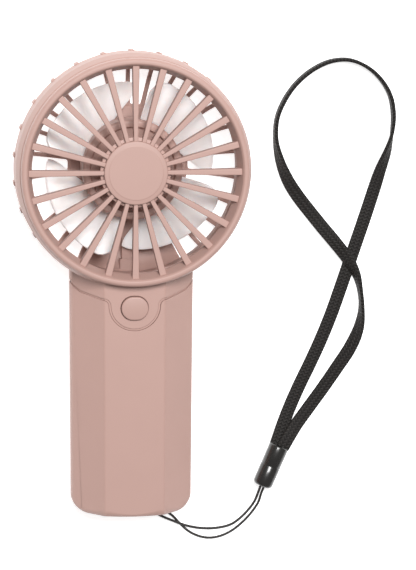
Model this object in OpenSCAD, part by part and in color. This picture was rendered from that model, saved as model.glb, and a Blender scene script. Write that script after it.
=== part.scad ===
// Hand-held electric fan: a round caged head on an eight-sided handle, with a wrist strap.
// The fan lies on its back: +Z points out of the front grille, +Y towards the head,
// and the origin is under the middle of the fan, on the surface that it lies on.

/* [Overall] */
// Length from the top of the head to the foot of the handle
total_l = 179; // [178:0.5:182]
// Depth of the head, from its back to the front rim
head_d = 32; // [31:0.5:36]
// Outer radius of the barrel round the impeller
barrel_r = 45; // [45:0.5:46]
// Wall of the moulded casings
wall = 1.8; // [1.6:0.1:2]

/* [Front grille] */
// Number of front ribs
front_ribs = 24; // [20:2:28]
// Width of a front rib at the rim
rib_w_rim = 2.7; // [2:0.1:3]
// Width of a front rib at the hub disc
rib_w_hub = 1.6; // [1:0.1:1.8]
// Radius of the hub disc
disc_r = 12.1; // [11:0.1:13]
// Radius of the opening inside the rim
opening_r = 39.1; // [38.5:0.1:39.5]

/* [Rear grille] */
// Number of rear ribs
rear_ribs = 26; // [26:4:30]
// Width of a rear rib
rear_rib_w = 1.8; // [1.4:0.1:2.2]
// Radius of the solid centre of the back
back_disc_r = 24; // [23:0.5:25]
// Height that a rib stands proud of the barrel
rib_proud = 0.5; // [0.3:0.1:0.6]
// Height that a rib stands proud of the wall between the ribs
rib_step = 0.4; // [0.3:0.1:0.5]

/* [Impeller] */
// Radius over the blade tips
tip_r = 35.7; // [34:0.1:36]
// Radius of the impeller's hub
hub_r = 19.2; // [19:0.1:19.5]
// Number of blades
blades = 4; // [3:1:5]
// Angle that one blade spans at its tip
blade_span = 82; // [60:1:84]

/* [Handle] */
// Width of the handle under the head
handle_w = 47.4; // [47:0.1:48]
// Width of the handle near its foot
foot_w = 46.2; // [45.5:0.1:47]
// Thickness of the handle
handle_t = 27; // [27:0.5:28]
// Width of the flat down the handle's front
flat_w = 23.2; // [22:0.1:24]

/* [Button] */
// Width of the power button
button_w = 10.4; // [9.6:0.1:11]
// Height of the power button along the handle
button_h = 9; // [8:0.1:9.4]
// Height that the button stands above the handle
button_proud = 1.2; // [0.8:0.1:1.6]
// Travel of the button
button_travel = 0.6; // [0.4:0.1:0.8]

/* [Strap] */
// Width of the wrist webbing
webbing_w = 5.2; // [4.5:0.1:5.4]
// Thickness of the wrist webbing
webbing_t = 1.4; // [1:0.1:1.5]
// Thickness of the thin cord
cord_d = 1; // [0.8:0.1:1.2]
// Diameter of the bead that joins cord and webbing
bead_d = 7.8; // [7:0.1:8]

/* [Hidden] */
$fn = 48;
eps = 0.01;

pink = [0.80, 0.67, 0.62];
pearl = [0.95, 0.91, 0.90];
black = [0.12, 0.11, 0.10];
steel = [0.72, 0.73, 0.75];
brass = [0.80, 0.65, 0.33];
copper = [0.72, 0.42, 0.22];
board_green = [0.10, 0.35, 0.22];

// Places along the fan
head_y = total_l / 2 - barrel_r - rib_proud;
foot_y = -total_l / 2;
mid_z = handle_t / 2;
seam_y = 0.4;
shoulder_y = -4.4;
button_y = head_y - 52.3;

// Head
shoulder_r = 12;
rim_h = 3.4;
barrel_top = head_d - rim_h;
barrel_in = barrel_r - 3;
bowl_t = 1.8;
rib_back = head_d - 5.2;
rib_front = head_d - 1.2;
lead_z = 3.4;

// Motor
shaft_r = 1;
bearing_r = 3;
holder_r = 4.2;
plate_t = 2;
board_z = 2.8;
stator_z = 5.2;
stator_h = 5;
magnet_in = 13.1;
cup_r = 16;
cup_z = 4.5;
cup_top = 12.6;
hub_z = 4.4;
hub_top = 15.5;

// Battery and boards
cell_r = 9.2;
cell_l = 65;
cell_y = -13.6;
board_top = 18.8;
board_t = 1.2;
usb_z = mid_z;
usb_r = 1.58;
usb_half = 2.89;
charge_z = usb_z - usb_r;

// Strap eyelet: two holes with a bar of the sleeve between them
eye_x = [7, 11];
eye_z = 4.6;
eye_r = 0.9;

// ---------------------------------------------------------------- shared shapes

module at_head() translate([0, head_y, 0]) children();

// A solid whose 2D outline lies in X and Z, running along Y from y0 to y1
module along_y(y0, y1) translate([0, y1, 0]) rotate([90, 0, 0]) linear_extrude(y1 - y0) children();

module stadium(r, half) {
    for (s = [-1, 1]) translate([s * half, 0]) circle(r);
    square([2 * half, 2 * r], center = true);
}

// Eight-sided outline of the handle, with its four side corners taken off
module handle_outline(half, inset) {
    side = 1.1;
    chamfer = 0.7;
    w = half - inset;
    f = flat_w / 2 - inset * 0.41;
    h = mid_z - inset;
    polygon([
        for (s = [1, -1], p = [
            [f, s * h],
            [w - chamfer, s * (side + chamfer)],
            [w, s * (side - chamfer * 0.4)]
        ]) [p[0], mid_z + p[1]],
        for (s = [-1, 1], p = [
            [w, s * (side - chamfer * 0.4)],
            [w - chamfer, s * (side + chamfer)],
            [f, s * h]
        ]) [-p[0], mid_z + p[1]]
    ]);
}

// Half width of the rounded foot at a height above its lowest line
foot_l = 7;
function foot_half(h, half) = half - foot_l + sqrt(pow(foot_l, 2) - pow(foot_l - h, 2));

// The handle's whole form, shrunk by inset all round; it tapers towards its foot
module handle_form(inset, top_y) {
    foot_inset = inset * 1.22;
    hull() {
        along_y(top_y - eps, top_y) handle_outline(handle_w / 2, inset);
        along_y(foot_y + foot_l, foot_y + foot_l + 0.1) handle_outline(foot_w / 2, inset);
        for (h = [4.4, 2.4, 1.1, 0.4, 0])
            along_y(foot_y + foot_inset + h, foot_y + foot_inset + h + eps)
                intersection() {
                    handle_outline(foot_w / 2, inset + max(0, 1.1 - h));
                    square([2 * (foot_half(h, foot_w / 2) - inset), 200], center = true);
                }
    }
}

// Everything on the head's side of the seam between the upper body and the sleeve
module above_seam(gap) {
    tongue_r = 9.1;
    tongue_y = head_y - 51;
    across = 30;
    shoulders = [[-across, 60], [-across, seam_y + 2], [-handle_w / 2, seam_y], [-20.6, -2.2],
        [-15.6, -3.7], [-10, shoulder_y], [10, shoulder_y], [15.6, -3.7], [20.6, -2.2],
        [handle_w / 2, seam_y], [across, seam_y + 2], [across, 60]];
    translate([0, -gap, -1]) linear_extrude(60) polygon(shoulders);
    translate([0, tongue_y, mid_z]) linear_extrude(40) {
        circle(tongue_r + gap);
        translate([-tongue_r - gap, 0]) square([2 * (tongue_r + gap), 12]);
    }
}

// Outline in radius and height of the head's rounded back edge, a quarter ring
module back_edge(outer, inner) translate([barrel_r - shoulder_r, shoulder_r]) intersection() {
    difference() {
        circle(outer);
        circle(inner);
    }
    translate([0, -outer]) square(outer);
}

// ---------------------------------------------------------------- head casings

module front_grille() color(pink) at_head() {
    rotate_extrude() polygon([
        [barrel_r - 2.2, barrel_top], [barrel_r - 2.2, barrel_top + 0.3],
        [barrel_r - 1.5, barrel_top + 0.3], [barrel_r - 1.6, head_d - 1.2],
        [barrel_r - 2.2, head_d - 0.3], [barrel_r - 3, head_d],
        [barrel_r - 3.7, head_d], [barrel_r - 4.2, head_d - 0.4],
        [opening_r, head_d - 5.6], [opening_r, head_d - 6.4],
        [barrel_in - 0.1, head_d - 6.4], [barrel_in - 0.1, barrel_top]
    ]);
    for (i = [0 : front_ribs - 1]) rotate(i * 360 / front_ribs)
        translate([0, 0, rib_back]) linear_extrude(rib_front - rib_back) polygon([
            [disc_r - 1, -rib_w_hub / 2], [opening_r + 1.2, -rib_w_rim / 2],
            [opening_r + 1.2, rib_w_rim / 2], [disc_r - 1, rib_w_hub / 2]
        ]);
    translate([0, 0, rib_back]) cylinder(r = disc_r + 0.8, h = 3);
    translate([0, 0, rib_back]) cylinder(r = disc_r, h = 4.2);
    translate([0, 0, rib_back]) cylinder(r = disc_r * 0.85, h = 4.4);
}

module barrel() rotate_extrude() polygon([
    [barrel_in, shoulder_r], [barrel_r, shoulder_r], [barrel_r, head_d - 10],
    [barrel_r - 1.2, barrel_top], [barrel_in, barrel_top]
]);

module head_space() {
    translate([0, 0, shoulder_r - 1]) cylinder(r = barrel_in + 1, h = 60);
    rotate_extrude() {
        square([barrel_r - shoulder_r, shoulder_r]);
        back_edge(shoulder_r + 0.1, eps);
    }
}

module button_hole(extra, z0, z1) translate([0, button_y, z0])
    linear_extrude(z1 - z0) stadium(button_h / 2 + extra, (button_w - button_h) / 2);

// Collar under the sleeve that the sleeve slides over
module collar() {
    collar_in = wall + 1.6;
    difference() {
        intersection() {
            handle_form(wall + 0.2, 12);
            translate([-40, -11.9, -1]) cube([80, 13.4, 40]);
        }
        handle_form(collar_in, 20);
        translate([-7.6, -30, mid_z]) cube([15.2, 40, 40]);
    }
    for (s = [-1, 1]) translate([s * 8, -8, wall + 0.2]) cylinder(r = 3.1, h = 2.6);
}

module head_housing() color(pink) difference() {
    union() {
        difference() {
            union() {
                difference() {
                    intersection() {
                        handle_form(0, 14);
                        above_seam(0);
                    }
                    difference() {
                        handle_form(wall, 20);
                        // end wall between the neck and the barrel
                        translate([-40, 12, -1]) cube([80, 10, 40]);
                    }
                }
                collar();
            }
            at_head() head_space();
        }
        at_head() barrel();
    }
    button_hole(0.3, mid_z, 40);
    for (s = [-1, 1]) translate([s * 8, -8, 0]) {
        translate([0, 0, wall]) cylinder(r = 1.05, h = 4);
        translate([0, 0, wall]) cylinder(r = 2, h = 1.5);
    }
}

function rear_angle(i) = 90 + i * 360 / rear_ribs;
solid_half = 360 / rear_ribs * 2;

// Outline in radius and height of the bowl's wall, from the solid centre to its edge
module bowl_wall(inset, t) {
    back_edge(shoulder_r - inset, shoulder_r - inset - t);
    translate([back_disc_r - 1, inset]) square([barrel_r - shoulder_r - back_disc_r + 1, t]);
}

module rear_rib(hooked) rotate([90, 0, 0]) linear_extrude(rear_rib_w, center = true) {
    bowl_wall(0, bowl_t);
    // end that hooks over the barrel's back edge
    if (hooked) {
        translate([barrel_r - 0.6, shoulder_r - 2]) square([0.6 + rib_proud, 2]);
        translate([barrel_r + 0.05, shoulder_r]) square([rib_proud - 0.05, 3.5]);
    }
}

module rear_grille() color(pink) at_head() difference() {
    union() {
        cylinder(r = back_disc_r, h = plate_t);
        for (i = [0 : rear_ribs - 1]) rotate(rear_angle(i))
            rear_rib(abs(rear_angle(i) - 270) > solid_half + 1);
        // solid wall in front of the neck
        rotate(-90 - solid_half) rotate_extrude(angle = 2 * solid_half)
            bowl_wall(rib_step, bowl_t - 2 * rib_step);
        // edge ring that carries the rib ends and seats in the barrel
        rotate_extrude() {
            intersection() {
                back_edge(shoulder_r - 2 * rib_step, shoulder_r - 3);
                translate([barrel_in - 1, 7]) square([10, shoulder_r - 7 - rib_step]);
            }
            translate([barrel_in - 1.2, 8.5]) square([1.1, 5.5]);
        }
        // socket for the bearing holder
        cylinder(r = holder_r + 1.6, h = 4.4);
        for (i = [0 : 2]) rotate(i * 120 + 30) translate([11, 0, 0]) cylinder(r = 1.8, h = board_z);
    }
    translate([0, 0, 0.8]) cylinder(r = holder_r, h = 10);
    for (i = [0 : 2]) rotate(i * 120 + 30) translate([11, 0, 0.8]) cylinder(r = 0.7, h = 5);
    translate([-2.6, -barrel_r - 1, 2.4]) cube([5.2, 11.5, 3.2]);
}

// ---------------------------------------------------------------- impeller and motor

// A blade is a sheet twisted about the shaft: u runs from hub to tip, v from the low
// swept edge to the high rounded edge. Each pair below is for the hub and for the tip.
blade_low = [6.2, 5.6];
blade_high = [14.2, 19.5];
blade_t = 1.2;
blade_u = 5;
blade_v = 12;
blade_root = hub_r - 0.6;

// Angle and radius along the blade's two free edges
function blade_start(u) = 18.5 - 24 * (1 - pow(1 - u, 2));
function blade_end(u) = blade_span - 5.5 + 2.5 * (1 - u);
function blade_reach(v) = 0.795 + 0.205 * v - (v < 0.85 ? 0 : 0.29 * pow((v - 0.85) / 0.15, 2.5));
function blade_angle(u, v) = blade_start(u) + (blade_end(u) - blade_start(u)) * v;
function blade_lift(u, v) = let (low = blade_low[0] + (blade_low[1] - blade_low[0]) * u,
    high = blade_high[0] + (blade_high[1] - blade_high[0]) * u) low + (high - low) * v;
function blade_point(u, v, side) =
    let (reach = u * blade_reach(v), r = blade_root + (tip_r - blade_root) * reach,
        a = blade_angle(u, v))
    [r * cos(a), r * sin(a), blade_lift(u, v) + side * blade_t / 2];

module blade() {
    rows = blade_u + 1;
    cols = blade_v + 1;
    per_side = rows * cols;
    points = [for (side = [-1, 1], i = [0 : blade_u], j = [0 : blade_v])
        blade_point(i / blade_u, j / blade_v, side)];
    function at(side, i, j) = side * per_side + i * cols + j;
    top = [for (i = [0 : blade_u - 1], j = [0 : blade_v - 1], t = [0, 1]) t == 0
        ? [at(1, i, j), at(1, i, j + 1), at(1, i + 1, j + 1)]
        : [at(1, i, j), at(1, i + 1, j + 1), at(1, i + 1, j)]];
    bottom = [for (f = top) [f[0] - per_side, f[2] - per_side, f[1] - per_side]];
    rim = concat(
        [for (j = [0 : blade_v - 1]) [[0, j], [0, j + 1]]],
        [for (i = [0 : blade_u - 1]) [[i, blade_v], [i + 1, blade_v]]],
        [for (j = [0 : blade_v - 1]) [[blade_u, blade_v - j], [blade_u, blade_v - j - 1]]],
        [for (i = [0 : blade_u - 1]) [[blade_u - i, 0], [blade_u - i - 1, 0]]]);
    sides = [for (e = rim, t = [0, 1])
        let (a = e[0], b = e[1]) t == 0
            ? [at(0, a[0], a[1]), at(0, b[0], b[1]), at(1, b[0], b[1])]
            : [at(0, a[0], a[1]), at(1, b[0], b[1]), at(1, a[0], a[1])]];
    polyhedron(points, concat(top, bottom, sides));
}

module impeller() color(pearl) at_head() {
    difference() {
        translate([0, 0, hub_z]) cylinder(r = hub_r, h = hub_top - hub_z);
        translate([0, 0, hub_z - 1]) cylinder(r = cup_r, h = cup_top - hub_z + 1);
        translate([0, 0, 13.9]) cylinder(r = 16.2, h = 5);
        translate([0, 0, hub_z]) cylinder(r = shaft_r, h = 20);
    }
    for (i = [0 : blades - 1]) rotate(i * 360 / blades) blade();
}

module rotor_cup() color(steel) at_head() difference() {
    translate([0, 0, cup_z]) cylinder(r = cup_r, h = cup_top - cup_z);
    translate([0, 0, cup_z - 1]) cylinder(r = cup_r - 1, h = cup_top - cup_z);
    cylinder(r = shaft_r, h = 30);
}

module rotor_magnet() color([0.25, 0.25, 0.27]) at_head() translate([0, 0, cup_z]) difference() {
    cylinder(r = cup_r - 1, h = 6.6);
    translate([0, 0, -1]) cylinder(r = magnet_in, h = 9);
}

clip_z = 1.45;
shaft_z = 1.2;
module motor_shaft() color(steel) at_head() difference() {
    translate([0, 0, shaft_z]) cylinder(r = shaft_r, h = 14.4 - shaft_z);
    translate([0, 0, clip_z]) difference() {
        cylinder(r = 2, h = 0.3);
        translate([0, 0, -1]) cylinder(r = 0.7, h = 3);
    }
}

module shaft_clip() color(steel) at_head() translate([0, 0, clip_z + 0.02]) difference() {
    cylinder(r = 1.9, h = 0.26);
    translate([0, 0, -1]) cylinder(r = 0.72, h = 3);
    translate([0, -0.6, -1]) cube([3, 1.2, 3]);
}

module bearing(z) color(steel) at_head() translate([0, 0, z]) difference() {
    cylinder(r = bearing_r, h = 2.5);
    translate([0, 0, -1]) cylinder(r = shaft_r + 0.03, h = 5);
    for (end = [-0.1, 2.35]) translate([0, 0, end]) difference() {
        cylinder(r = 2.5, h = 0.25);
        translate([0, 0, -1]) cylinder(r = 1.5, h = 3);
    }
}

module front_bearing() bearing(7.6);
module rear_bearing() bearing(2);

module bearing_holder() color(brass) at_head() difference() {
    translate([0, 0, 0.8]) cylinder(r = holder_r, h = 9.4);
    translate([0, 0, 2]) cylinder(r = bearing_r, h = 12);
    cylinder(r = 2.2, h = 4);
}

poles = 9;
tooth_w = 2.6;

module stator_core() color([0.45, 0.46, 0.48]) at_head() translate([0, 0, stator_z]) difference() {
    union() {
        cylinder(r = 6.4, h = stator_h);
        intersection() {
            union() {
                for (i = [0 : poles - 1]) rotate(i * 360 / poles) {
                    translate([5, -tooth_w / 2, 0]) cube([7, tooth_w, stator_h]);
                    translate([11.4, -3.6, 0]) cube([2, 7.2, stator_h]);
                }
            }
            cylinder(r = magnet_in - 0.5, h = stator_h);
        }
    }
    translate([0, 0, -1]) cylinder(r = holder_r, h = stator_h + 2);
}

module stator_windings() color(copper) at_head() for (i = [0 : poles - 1])
    rotate(i * 360 / poles) difference() {
        translate([7.6, -tooth_w / 2 - 0.7, stator_z - 0.9]) cube([3.4, tooth_w + 1.4, stator_h + 1.8]);
        translate([7, -tooth_w / 2, stator_z]) cube([5, tooth_w, stator_h]);
    }

module motor_board() color(board_green) at_head() translate([0, 0, board_z]) difference() {
    cylinder(r = 14, h = 0.8);
    translate([0, 0, -1]) cylinder(r = holder_r + 1.8, h = 3);
    for (i = [0 : 2]) rotate(i * 120 + 30) translate([11, 0, -1]) cylinder(r = 0.8, h = 3);
}

// A pan-head screw with a cross recess, its head's underside at z = 0 and pointing down
module screw(head, r, l) difference() {
    union() {
        cylinder(r = head, h = 0.6);
        translate([0, 0, -l]) cylinder(r = r, h = l);
    }
    for (a = [0, 90]) rotate(a) translate([-head * 0.6, -0.15, 0.3]) cube([head * 1.2, 0.3, 1]);
}

module motor_screws() color(steel) at_head() for (i = [0 : 2])
    rotate(i * 120 + 30) translate([11, 0, board_z + 0.8]) screw(1.4, 0.7, 2.6);

// ---------------------------------------------------------------- handle

module handle_sleeve() color(pink) difference() {
    handle_form(0, 14);
    handle_form(wall, 30);
    above_seam(0.25);
    // charging port
    translate([0, 0, usb_z]) along_y(foot_y - 1, foot_y + 6)
        stadium(usb_r + 0.2, usb_half);
    // strap eyelet
    for (x = eye_x) translate([x, 0, eye_z]) along_y(foot_y - 1, foot_y + 4) circle(eye_r);
    translate([(eye_x[0] + eye_x[1]) / 2, 0, eye_z]) along_y(foot_y - 1, foot_y + 0.9)
        stadium(1.3, 2);
}

// Section of the battery tray, open to the front
module tray_section() difference() {
    polygon([[-10, 2.1], [10, 2.1], [18.6, 10.8], [18.6, mid_z], [-18.6, mid_z], [-18.6, 10.8]]);
    translate([0, mid_z]) circle(cell_r + 0.2);
}

module bulkhead_section(top) intersection() {
    polygon([[-10, 2.1], [10, 2.1], [20.4, 12.6], [20.4, 15], [10, 24.8], [-10, 24.8],
        [-20.4, 15], [-20.4, 12.6]]);
    translate([-30, 0]) square([60, top]);
}

tray_foot = -80.2;
module chassis() color([0.86, 0.86, 0.84]) difference() {
    union() {
        along_y(tray_foot + 1.2, -13.2) tray_section();
        along_y(-13.2, -12.1) difference() {
            bulkhead_section(17.2);
            // ways through for the leads
            translate([-3, 10.6]) square([6, 8]);
            for (s = [-1, 1]) translate([s * 13.1 - 1.7, mid_z]) square([3.4, 4]);
        }
        along_y(tray_foot, tray_foot + 1.2) difference() {
            bulkhead_section(22);
            translate([-9.5, 17.5]) square([19, 8]);
            translate([11.4, mid_z]) square([3.4, 4]);
        }
        // platform and posts under the main board
        translate([-15.4, -12.2, 10.4]) cube([30.8, 9.6, 1.6]);
        for (s = [-1, 1]) translate([s * 13, -7.4, 11]) cylinder(r = 2, h = board_top - board_t - 11);
        // bosses for the screws through the collar
        for (s = [-1, 1]) translate([s * 8, -8, 4.7]) cylinder(r = 2.6, h = 6);
    }
    for (s = [-1, 1]) translate([s * 13, -7.4, 13]) cylinder(r = 0.8, h = 8);
    for (s = [-1, 1]) translate([s * 8, -8, 4]) cylinder(r = 1, h = 5.4);
    // window for the motor leads
    translate([-2.4, -4.4, 9]) cube([4.8, 4, 4]);
}

module chassis_screws() color(steel) for (s = [-1, 1])
    translate([s * 8, -8, wall + 1.45]) mirror([0, 0, 1]) screw(1.9, 1, 5.6);

module battery_cell() color([0.20, 0.42, 0.62]) {
    along_y(cell_y - cell_l, cell_y - 1.6) translate([0, mid_z]) circle(cell_r);
    along_y(cell_y - 1.7, cell_y) translate([0, mid_z]) circle(3.2);
}

module battery_tabs() color(steel) {
    translate([-2.4, cell_y, mid_z - 4.2]) cube([4.8, 0.2, 6.2]);
    translate([-13, cell_y - cell_l - 0.2, mid_z + 0.1]) cube([16, 0.2, 3]);
}

module battery_pads() color(black) for (y = [-26, -66])
    translate([-6, y - 5, mid_z + cell_r - 0.02]) difference() {
        cube([12, 10, 2.2]);
        translate([6, 5, -cell_r + 0.02]) rotate([90, 0, 0])
            cylinder(r = cell_r + 0.02, h = 20, center = true);
    }

module main_board() color(board_green) difference() {
    translate([-15.5, -11.8, board_top - board_t]) cube([31, 9.4, board_t]);
    for (s = [-1, 1]) translate([s * 13, -7.4, 10]) cylinder(r = 0.95, h = 12);
}

module board_screws() color(steel) for (s = [-1, 1])
    translate([s * 13, -7.4, board_top]) screw(1.6, 0.8, 4.4);

module control_chip() color(black) translate([5.2, -9.4, board_top]) cube([4, 4, 0.9]);

module power_inductor() color([0.3, 0.3, 0.32]) translate([-9.4, -9.6, board_top]) {
    difference() {
        cube([4.6, 4.6, 2.2]);
        translate([2.3, 2.3, 1.9]) cylinder(r = 1.6, h = 1);
    }
}

module board_capacitors() color([0.75, 0.62, 0.45]) for (x = [4.9, 6.7, 8.5])
    translate([x, -4.6, board_top]) cube([0.9, 1.6, 0.8]);

switch_top = 22.3;
module tact_switch() color(black) difference() {
    translate([-3, button_y - 3, board_top]) cube([6, 6, switch_top - board_top]);
    translate([0, button_y, switch_top - 2]) cylinder(r = 1.76, h = 3);
}

module switch_plunger() color([0.85, 0.85, 0.82]) translate([0, button_y, switch_top - 1.3])
    cylinder(r = 1.7, h = 2);

button_top = handle_t + button_proud;
module power_button() color(pink) {
    half = (button_w - button_h) / 2;
    translate([0, button_y, 0]) {
        translate([0, 0, switch_top + 0.7]) cylinder(r = 1.8, h = 1.2);
        translate([0, 0, handle_t - wall - 1.6]) linear_extrude(1) stadium(button_h / 2 + 1.1, half);
        translate([0, 0, handle_t - wall - 0.8]) linear_extrude(button_top - 0.5 - handle_t + wall + 0.8)
            stadium(button_h / 2, half);
        translate([0, 0, button_top - 0.5]) linear_extrude(0.3) stadium(button_h / 2 - 0.3, half);
        translate([0, 0, button_top - 0.2]) linear_extrude(0.2) stadium(button_h / 2 - 0.8, half);
    }
}

module charge_board() color(board_green)
    translate([-6.5, foot_y + 2.9, charge_z - 0.9]) cube([13, 6.4, 0.88]);

usb_back = foot_y + 8;
module usb_shell() color(steel) translate([0, 0, usb_z]) difference() {
    along_y(foot_y + 0.6, usb_back) stadium(usb_r, usb_half);
    along_y(foot_y, usb_back - 0.8) stadium(usb_r - 0.3, usb_half);
}

module usb_tongue() color(black)
    translate([-3.3, foot_y + 1.6, usb_z - 0.35]) cube([6.6, 5.6, 0.7]);

// ---------------------------------------------------------------- leads and strap

function unit(v) = v / norm(v);

function place(p) = [p[0], p[1], p[2]];
function heading(p, i) = unit(place(p[min(i + 1, len(p) - 1)]) - place(p[max(i - 1, 0)]));

// Closed skin over rings of equal size
module skin(rings) {
    n = len(rings[0]);
    m = len(rings);
    polyhedron([for (r = rings) each r], concat(
        [[for (k = [n - 1 : -1 : 0]) k]],
        [[for (k = [0 : n - 1]) (m - 1) * n + k]],
        [for (i = [0 : m - 2], k = [0 : n - 1]) [i * n + k, i * n + (k + 1) % n, (i + 1) * n + (k + 1) % n]],
        [for (i = [0 : m - 2], k = [0 : n - 1]) [i * n + k, (i + 1) * n + (k + 1) % n, (i + 1) * n + k]]));
}

function round_ring(p, i, d, up) =
    let (t = heading(p, i), a = unit(cross(t, up)), b = cross(a, t))
    [for (k = [0 : 7]) place(p[i]) + d / 2 * (a * cos(45 * k) - b * sin(45 * k))];

module tube(route, d, up) skin([for (i = [0 : len(route) - 1]) round_ring(route, i, d, up)]);

// Flat band: roll is 0 lying flat and 90 standing on its edge
function flat_ring(p, i, w, t) =
    let (h = heading(p, i), side = unit(cross(h, [0, 0, 1])), top = cross(side, h), roll = p[i][3],
        a = side * cos(roll) + top * sin(roll), b = top * cos(roll) - side * sin(roll))
    [for (c = [[1, 1], [1, -1], [-1, -1], [-1, 1]]) place(p[i]) + a * c[0] * w / 2 + b * c[1] * t / 2];

module band(route, w, t) skin([for (i = [0 : len(route) - 1]) flat_ring(route, i, w, t)]);

lead_d = 1;
module motor_leads() color([0.75, 0.12, 0.10]) for (x = [-1.3, 0, 1.3])
    tube([[x, head_y - 14.1, 3.2], [x, head_y - 20, lead_z], [x, head_y - 37, lead_z],
        [x, 2.4, 4.1], [x, -0.4, 5.3], [x, -2.2, 8], [x, -3, 15], [x, -3, 17.58]],
        lead_d, [1, 0, 0]);

// One lead from each end of the cell to the main board
module battery_leads() color([0.85, 0.15, 0.12]) {
    tube([[0, cell_y + 0.22, 12.8], [0, -12.6, 12.8], [0, -11.6, 13.6], [0, -11, 15.2],
        [0, -10.8, 16.6], [0, -10.8, 17.58]], lead_d, [1, 0, 0]);
    tube([[-12, cell_y - cell_l + 0.02, 14.8], [-12, cell_y - cell_l + 0.8, 14.8], [-13, -74, 14.6],
        [-13, -24, 14.6], [-13, -13.4, 14.6], [-12.8, -11.5, 15.4], [-12.8, -11.1, 16.6],
        [-12.8, -11.1, 17.58]], lead_d, [0.3, 0, 1]);
}

// The two charging leads run beside the cell, from the charge board up to the main board
module charge_leads() color([0.15, 0.15, 0.16]) for (k = [0, 1])
    let (x = 13.8 - 1.4 * k, y = foot_y + 5.1 + 1.8 * k, z = 14.3)
    tube([[5.4, y, charge_z + 0.52], [8.6, y + 1.2, 13.2], [x, y + 2.2, z], [x, -76, z],
        [x, -60, z], [x, -24, z], [x, -13.4, z], [x, -11.5, 15.2], [x, -11.1, 16.6], [x, -11.1, 17.58]],
        lead_d, [0.3, 0, 1]);

// Route of the thin cord: from the bead, through the eyelet round its bar, and back
cord_route = [
    [53.7, -84.4, 3.9], [52.9, -87.2, 2.7], [51.9, -91.4, 0.9], [48.9, -95.8, 0.6],
    [45.4, -99.4, 0.6], [41.3, -102.5, 0.6], [37, -104.4, 0.6], [32.7, -105, 0.6],
    [28.4, -104.2, 0.6], [24.2, -102, 0.6], [20.6, -98.6, 0.6], [17.6, -95.4, 1],
    [14.4, -93.2, 2.4], [11.8, -91.8, 4], [11, -89.6, 4.6], [11, -87, 4.6],
    [10.4, -85.6, 4.6], [9, -85, 4.6], [7.6, -85.6, 4.6], [7, -87, 4.6],
    [7, -89.6, 4.6], [8, -91.8, 4.5], [10.8, -93.8, 3.6], [14.4, -95.8, 2.6],
    [17.4, -97.2, 2], [20.6, -98.6, 1.8], [24.2, -99.9, 1.2], [28.4, -100.9, 0.6],
    [32.7, -101.2, 0.6], [37, -100.9, 0.6], [41, -99.9, 0.6], [44.2, -97.9, 0.6],
    [47.5, -94.8, 0.6], [50.4, -90.9, 0.9], [51.6, -87, 2.7], [52.4, -84, 3.9]];

module strap_cord() color(black) tube(cord_route, cord_d, [0, 0, 1]);

// Route of the webbing, with its roll: out of the bead, round the loop and back into it
webbing_route = [
    [61, -68.5, 4.7, 0], [63.4, -64.6, 4.1, 0], [66.8, -59.6, 2.6, 0], [72, -53, 1.1, 0],
    [77.6, -45.4, 0.8, 0], [83, -37.4, 1.1, 6], [88, -29.4, 1.9, 26], [91.2, -21.4, 2.7, 56],
    [92.2, -13.6, 2.8, 84], [91.4, -6, 2.9, 84], [89.6, 0.4, 3, 62], [86.2, 6.2, 3, 32],
    [81.6, 12.2, 2.8, 12], [76.6, 18.2, 1.8, 0], [71.6, 24.4, 1.1, 0], [66.6, 30.8, 1.3, 10],
    [62.4, 37.4, 2.2, 34], [59.2, 45.2, 2.7, 62], [57.6, 53, 2.7, 86], [57.9, 60.8, 2.7, 90],
    [60.4, 67.6, 2.7, 90], [64.8, 74.2, 2.7, 90], [71, 79.7, 2.7, 90], [78.4, 83.3, 2.7, 90],
    [86, 83.9, 2.7, 90], [93, 81.2, 2.7, 90], [98.6, 76.3, 2.7, 90], [102.4, 70, 2.7, 90],
    [103.8, 62.8, 2.7, 90], [103.4, 55.4, 2.7, 82], [101.8, 48.4, 2.6, 54], [99.2, 41, 1.9, 26],
    [96.8, 33, 1.1, 6], [93.8, 23.4, 0.8, 0], [90.6, 13.8, 0.8, 0], [87.4, 4.2, 0.8, 0],
    [84, -6, 0.8, 0], [80.6, -15.8, 0.8, 0], [76.8, -25.4, 0.8, 0], [72.6, -34.8, 0.8, 0],
    [68.2, -44, 0.8, 0], [64.4, -52.6, 1, 0], [61.4, -60, 1.9, 0], [59.4, -65.4, 2.8, 0],
    [58.6, -67.6, 3.1, 0]];

module strap_webbing() color(black) band(webbing_route, webbing_w, webbing_t);

bead_top = [59.8, -67.8, bead_d / 2];
bead_turn = 23.3;
bead_l = 17.4;
module strap_bead() color(black) translate(bead_top) rotate(-bead_turn) rotate([90, 0, 0])
    rotate_extrude() difference() {
        union() {
            square([bead_d / 2, bead_l - 1.5]);
            square([bead_d / 2 - 1.5, bead_l]);
            translate([bead_d / 2 - 1.5, bead_l - 1.5]) circle(1.5);
        }
        translate([-20, -5]) square([20, 40]);
    }

front_grille();
head_housing();
rear_grille();
impeller();
rotor_cup();
rotor_magnet();
motor_shaft();
shaft_clip();
front_bearing();
rear_bearing();
bearing_holder();
stator_core();
stator_windings();
motor_board();
motor_screws();
handle_sleeve();
chassis();
chassis_screws();
battery_cell();
battery_tabs();
battery_pads();
main_board();
board_screws();
control_chip();
power_inductor();
board_capacitors();
tact_switch();
switch_plunger();
power_button();
charge_board();
usb_shell();
usb_tongue();
motor_leads();
battery_leads();
charge_leads();
strap_cord();
strap_bead();
strap_webbing();
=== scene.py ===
"""Hand-held electric fan: camera, stage, wrist strap, casings, impeller, button and insides.

Shapes are worked out in millimetres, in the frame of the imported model, and become metres when a
piece is finished.
"""

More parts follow.
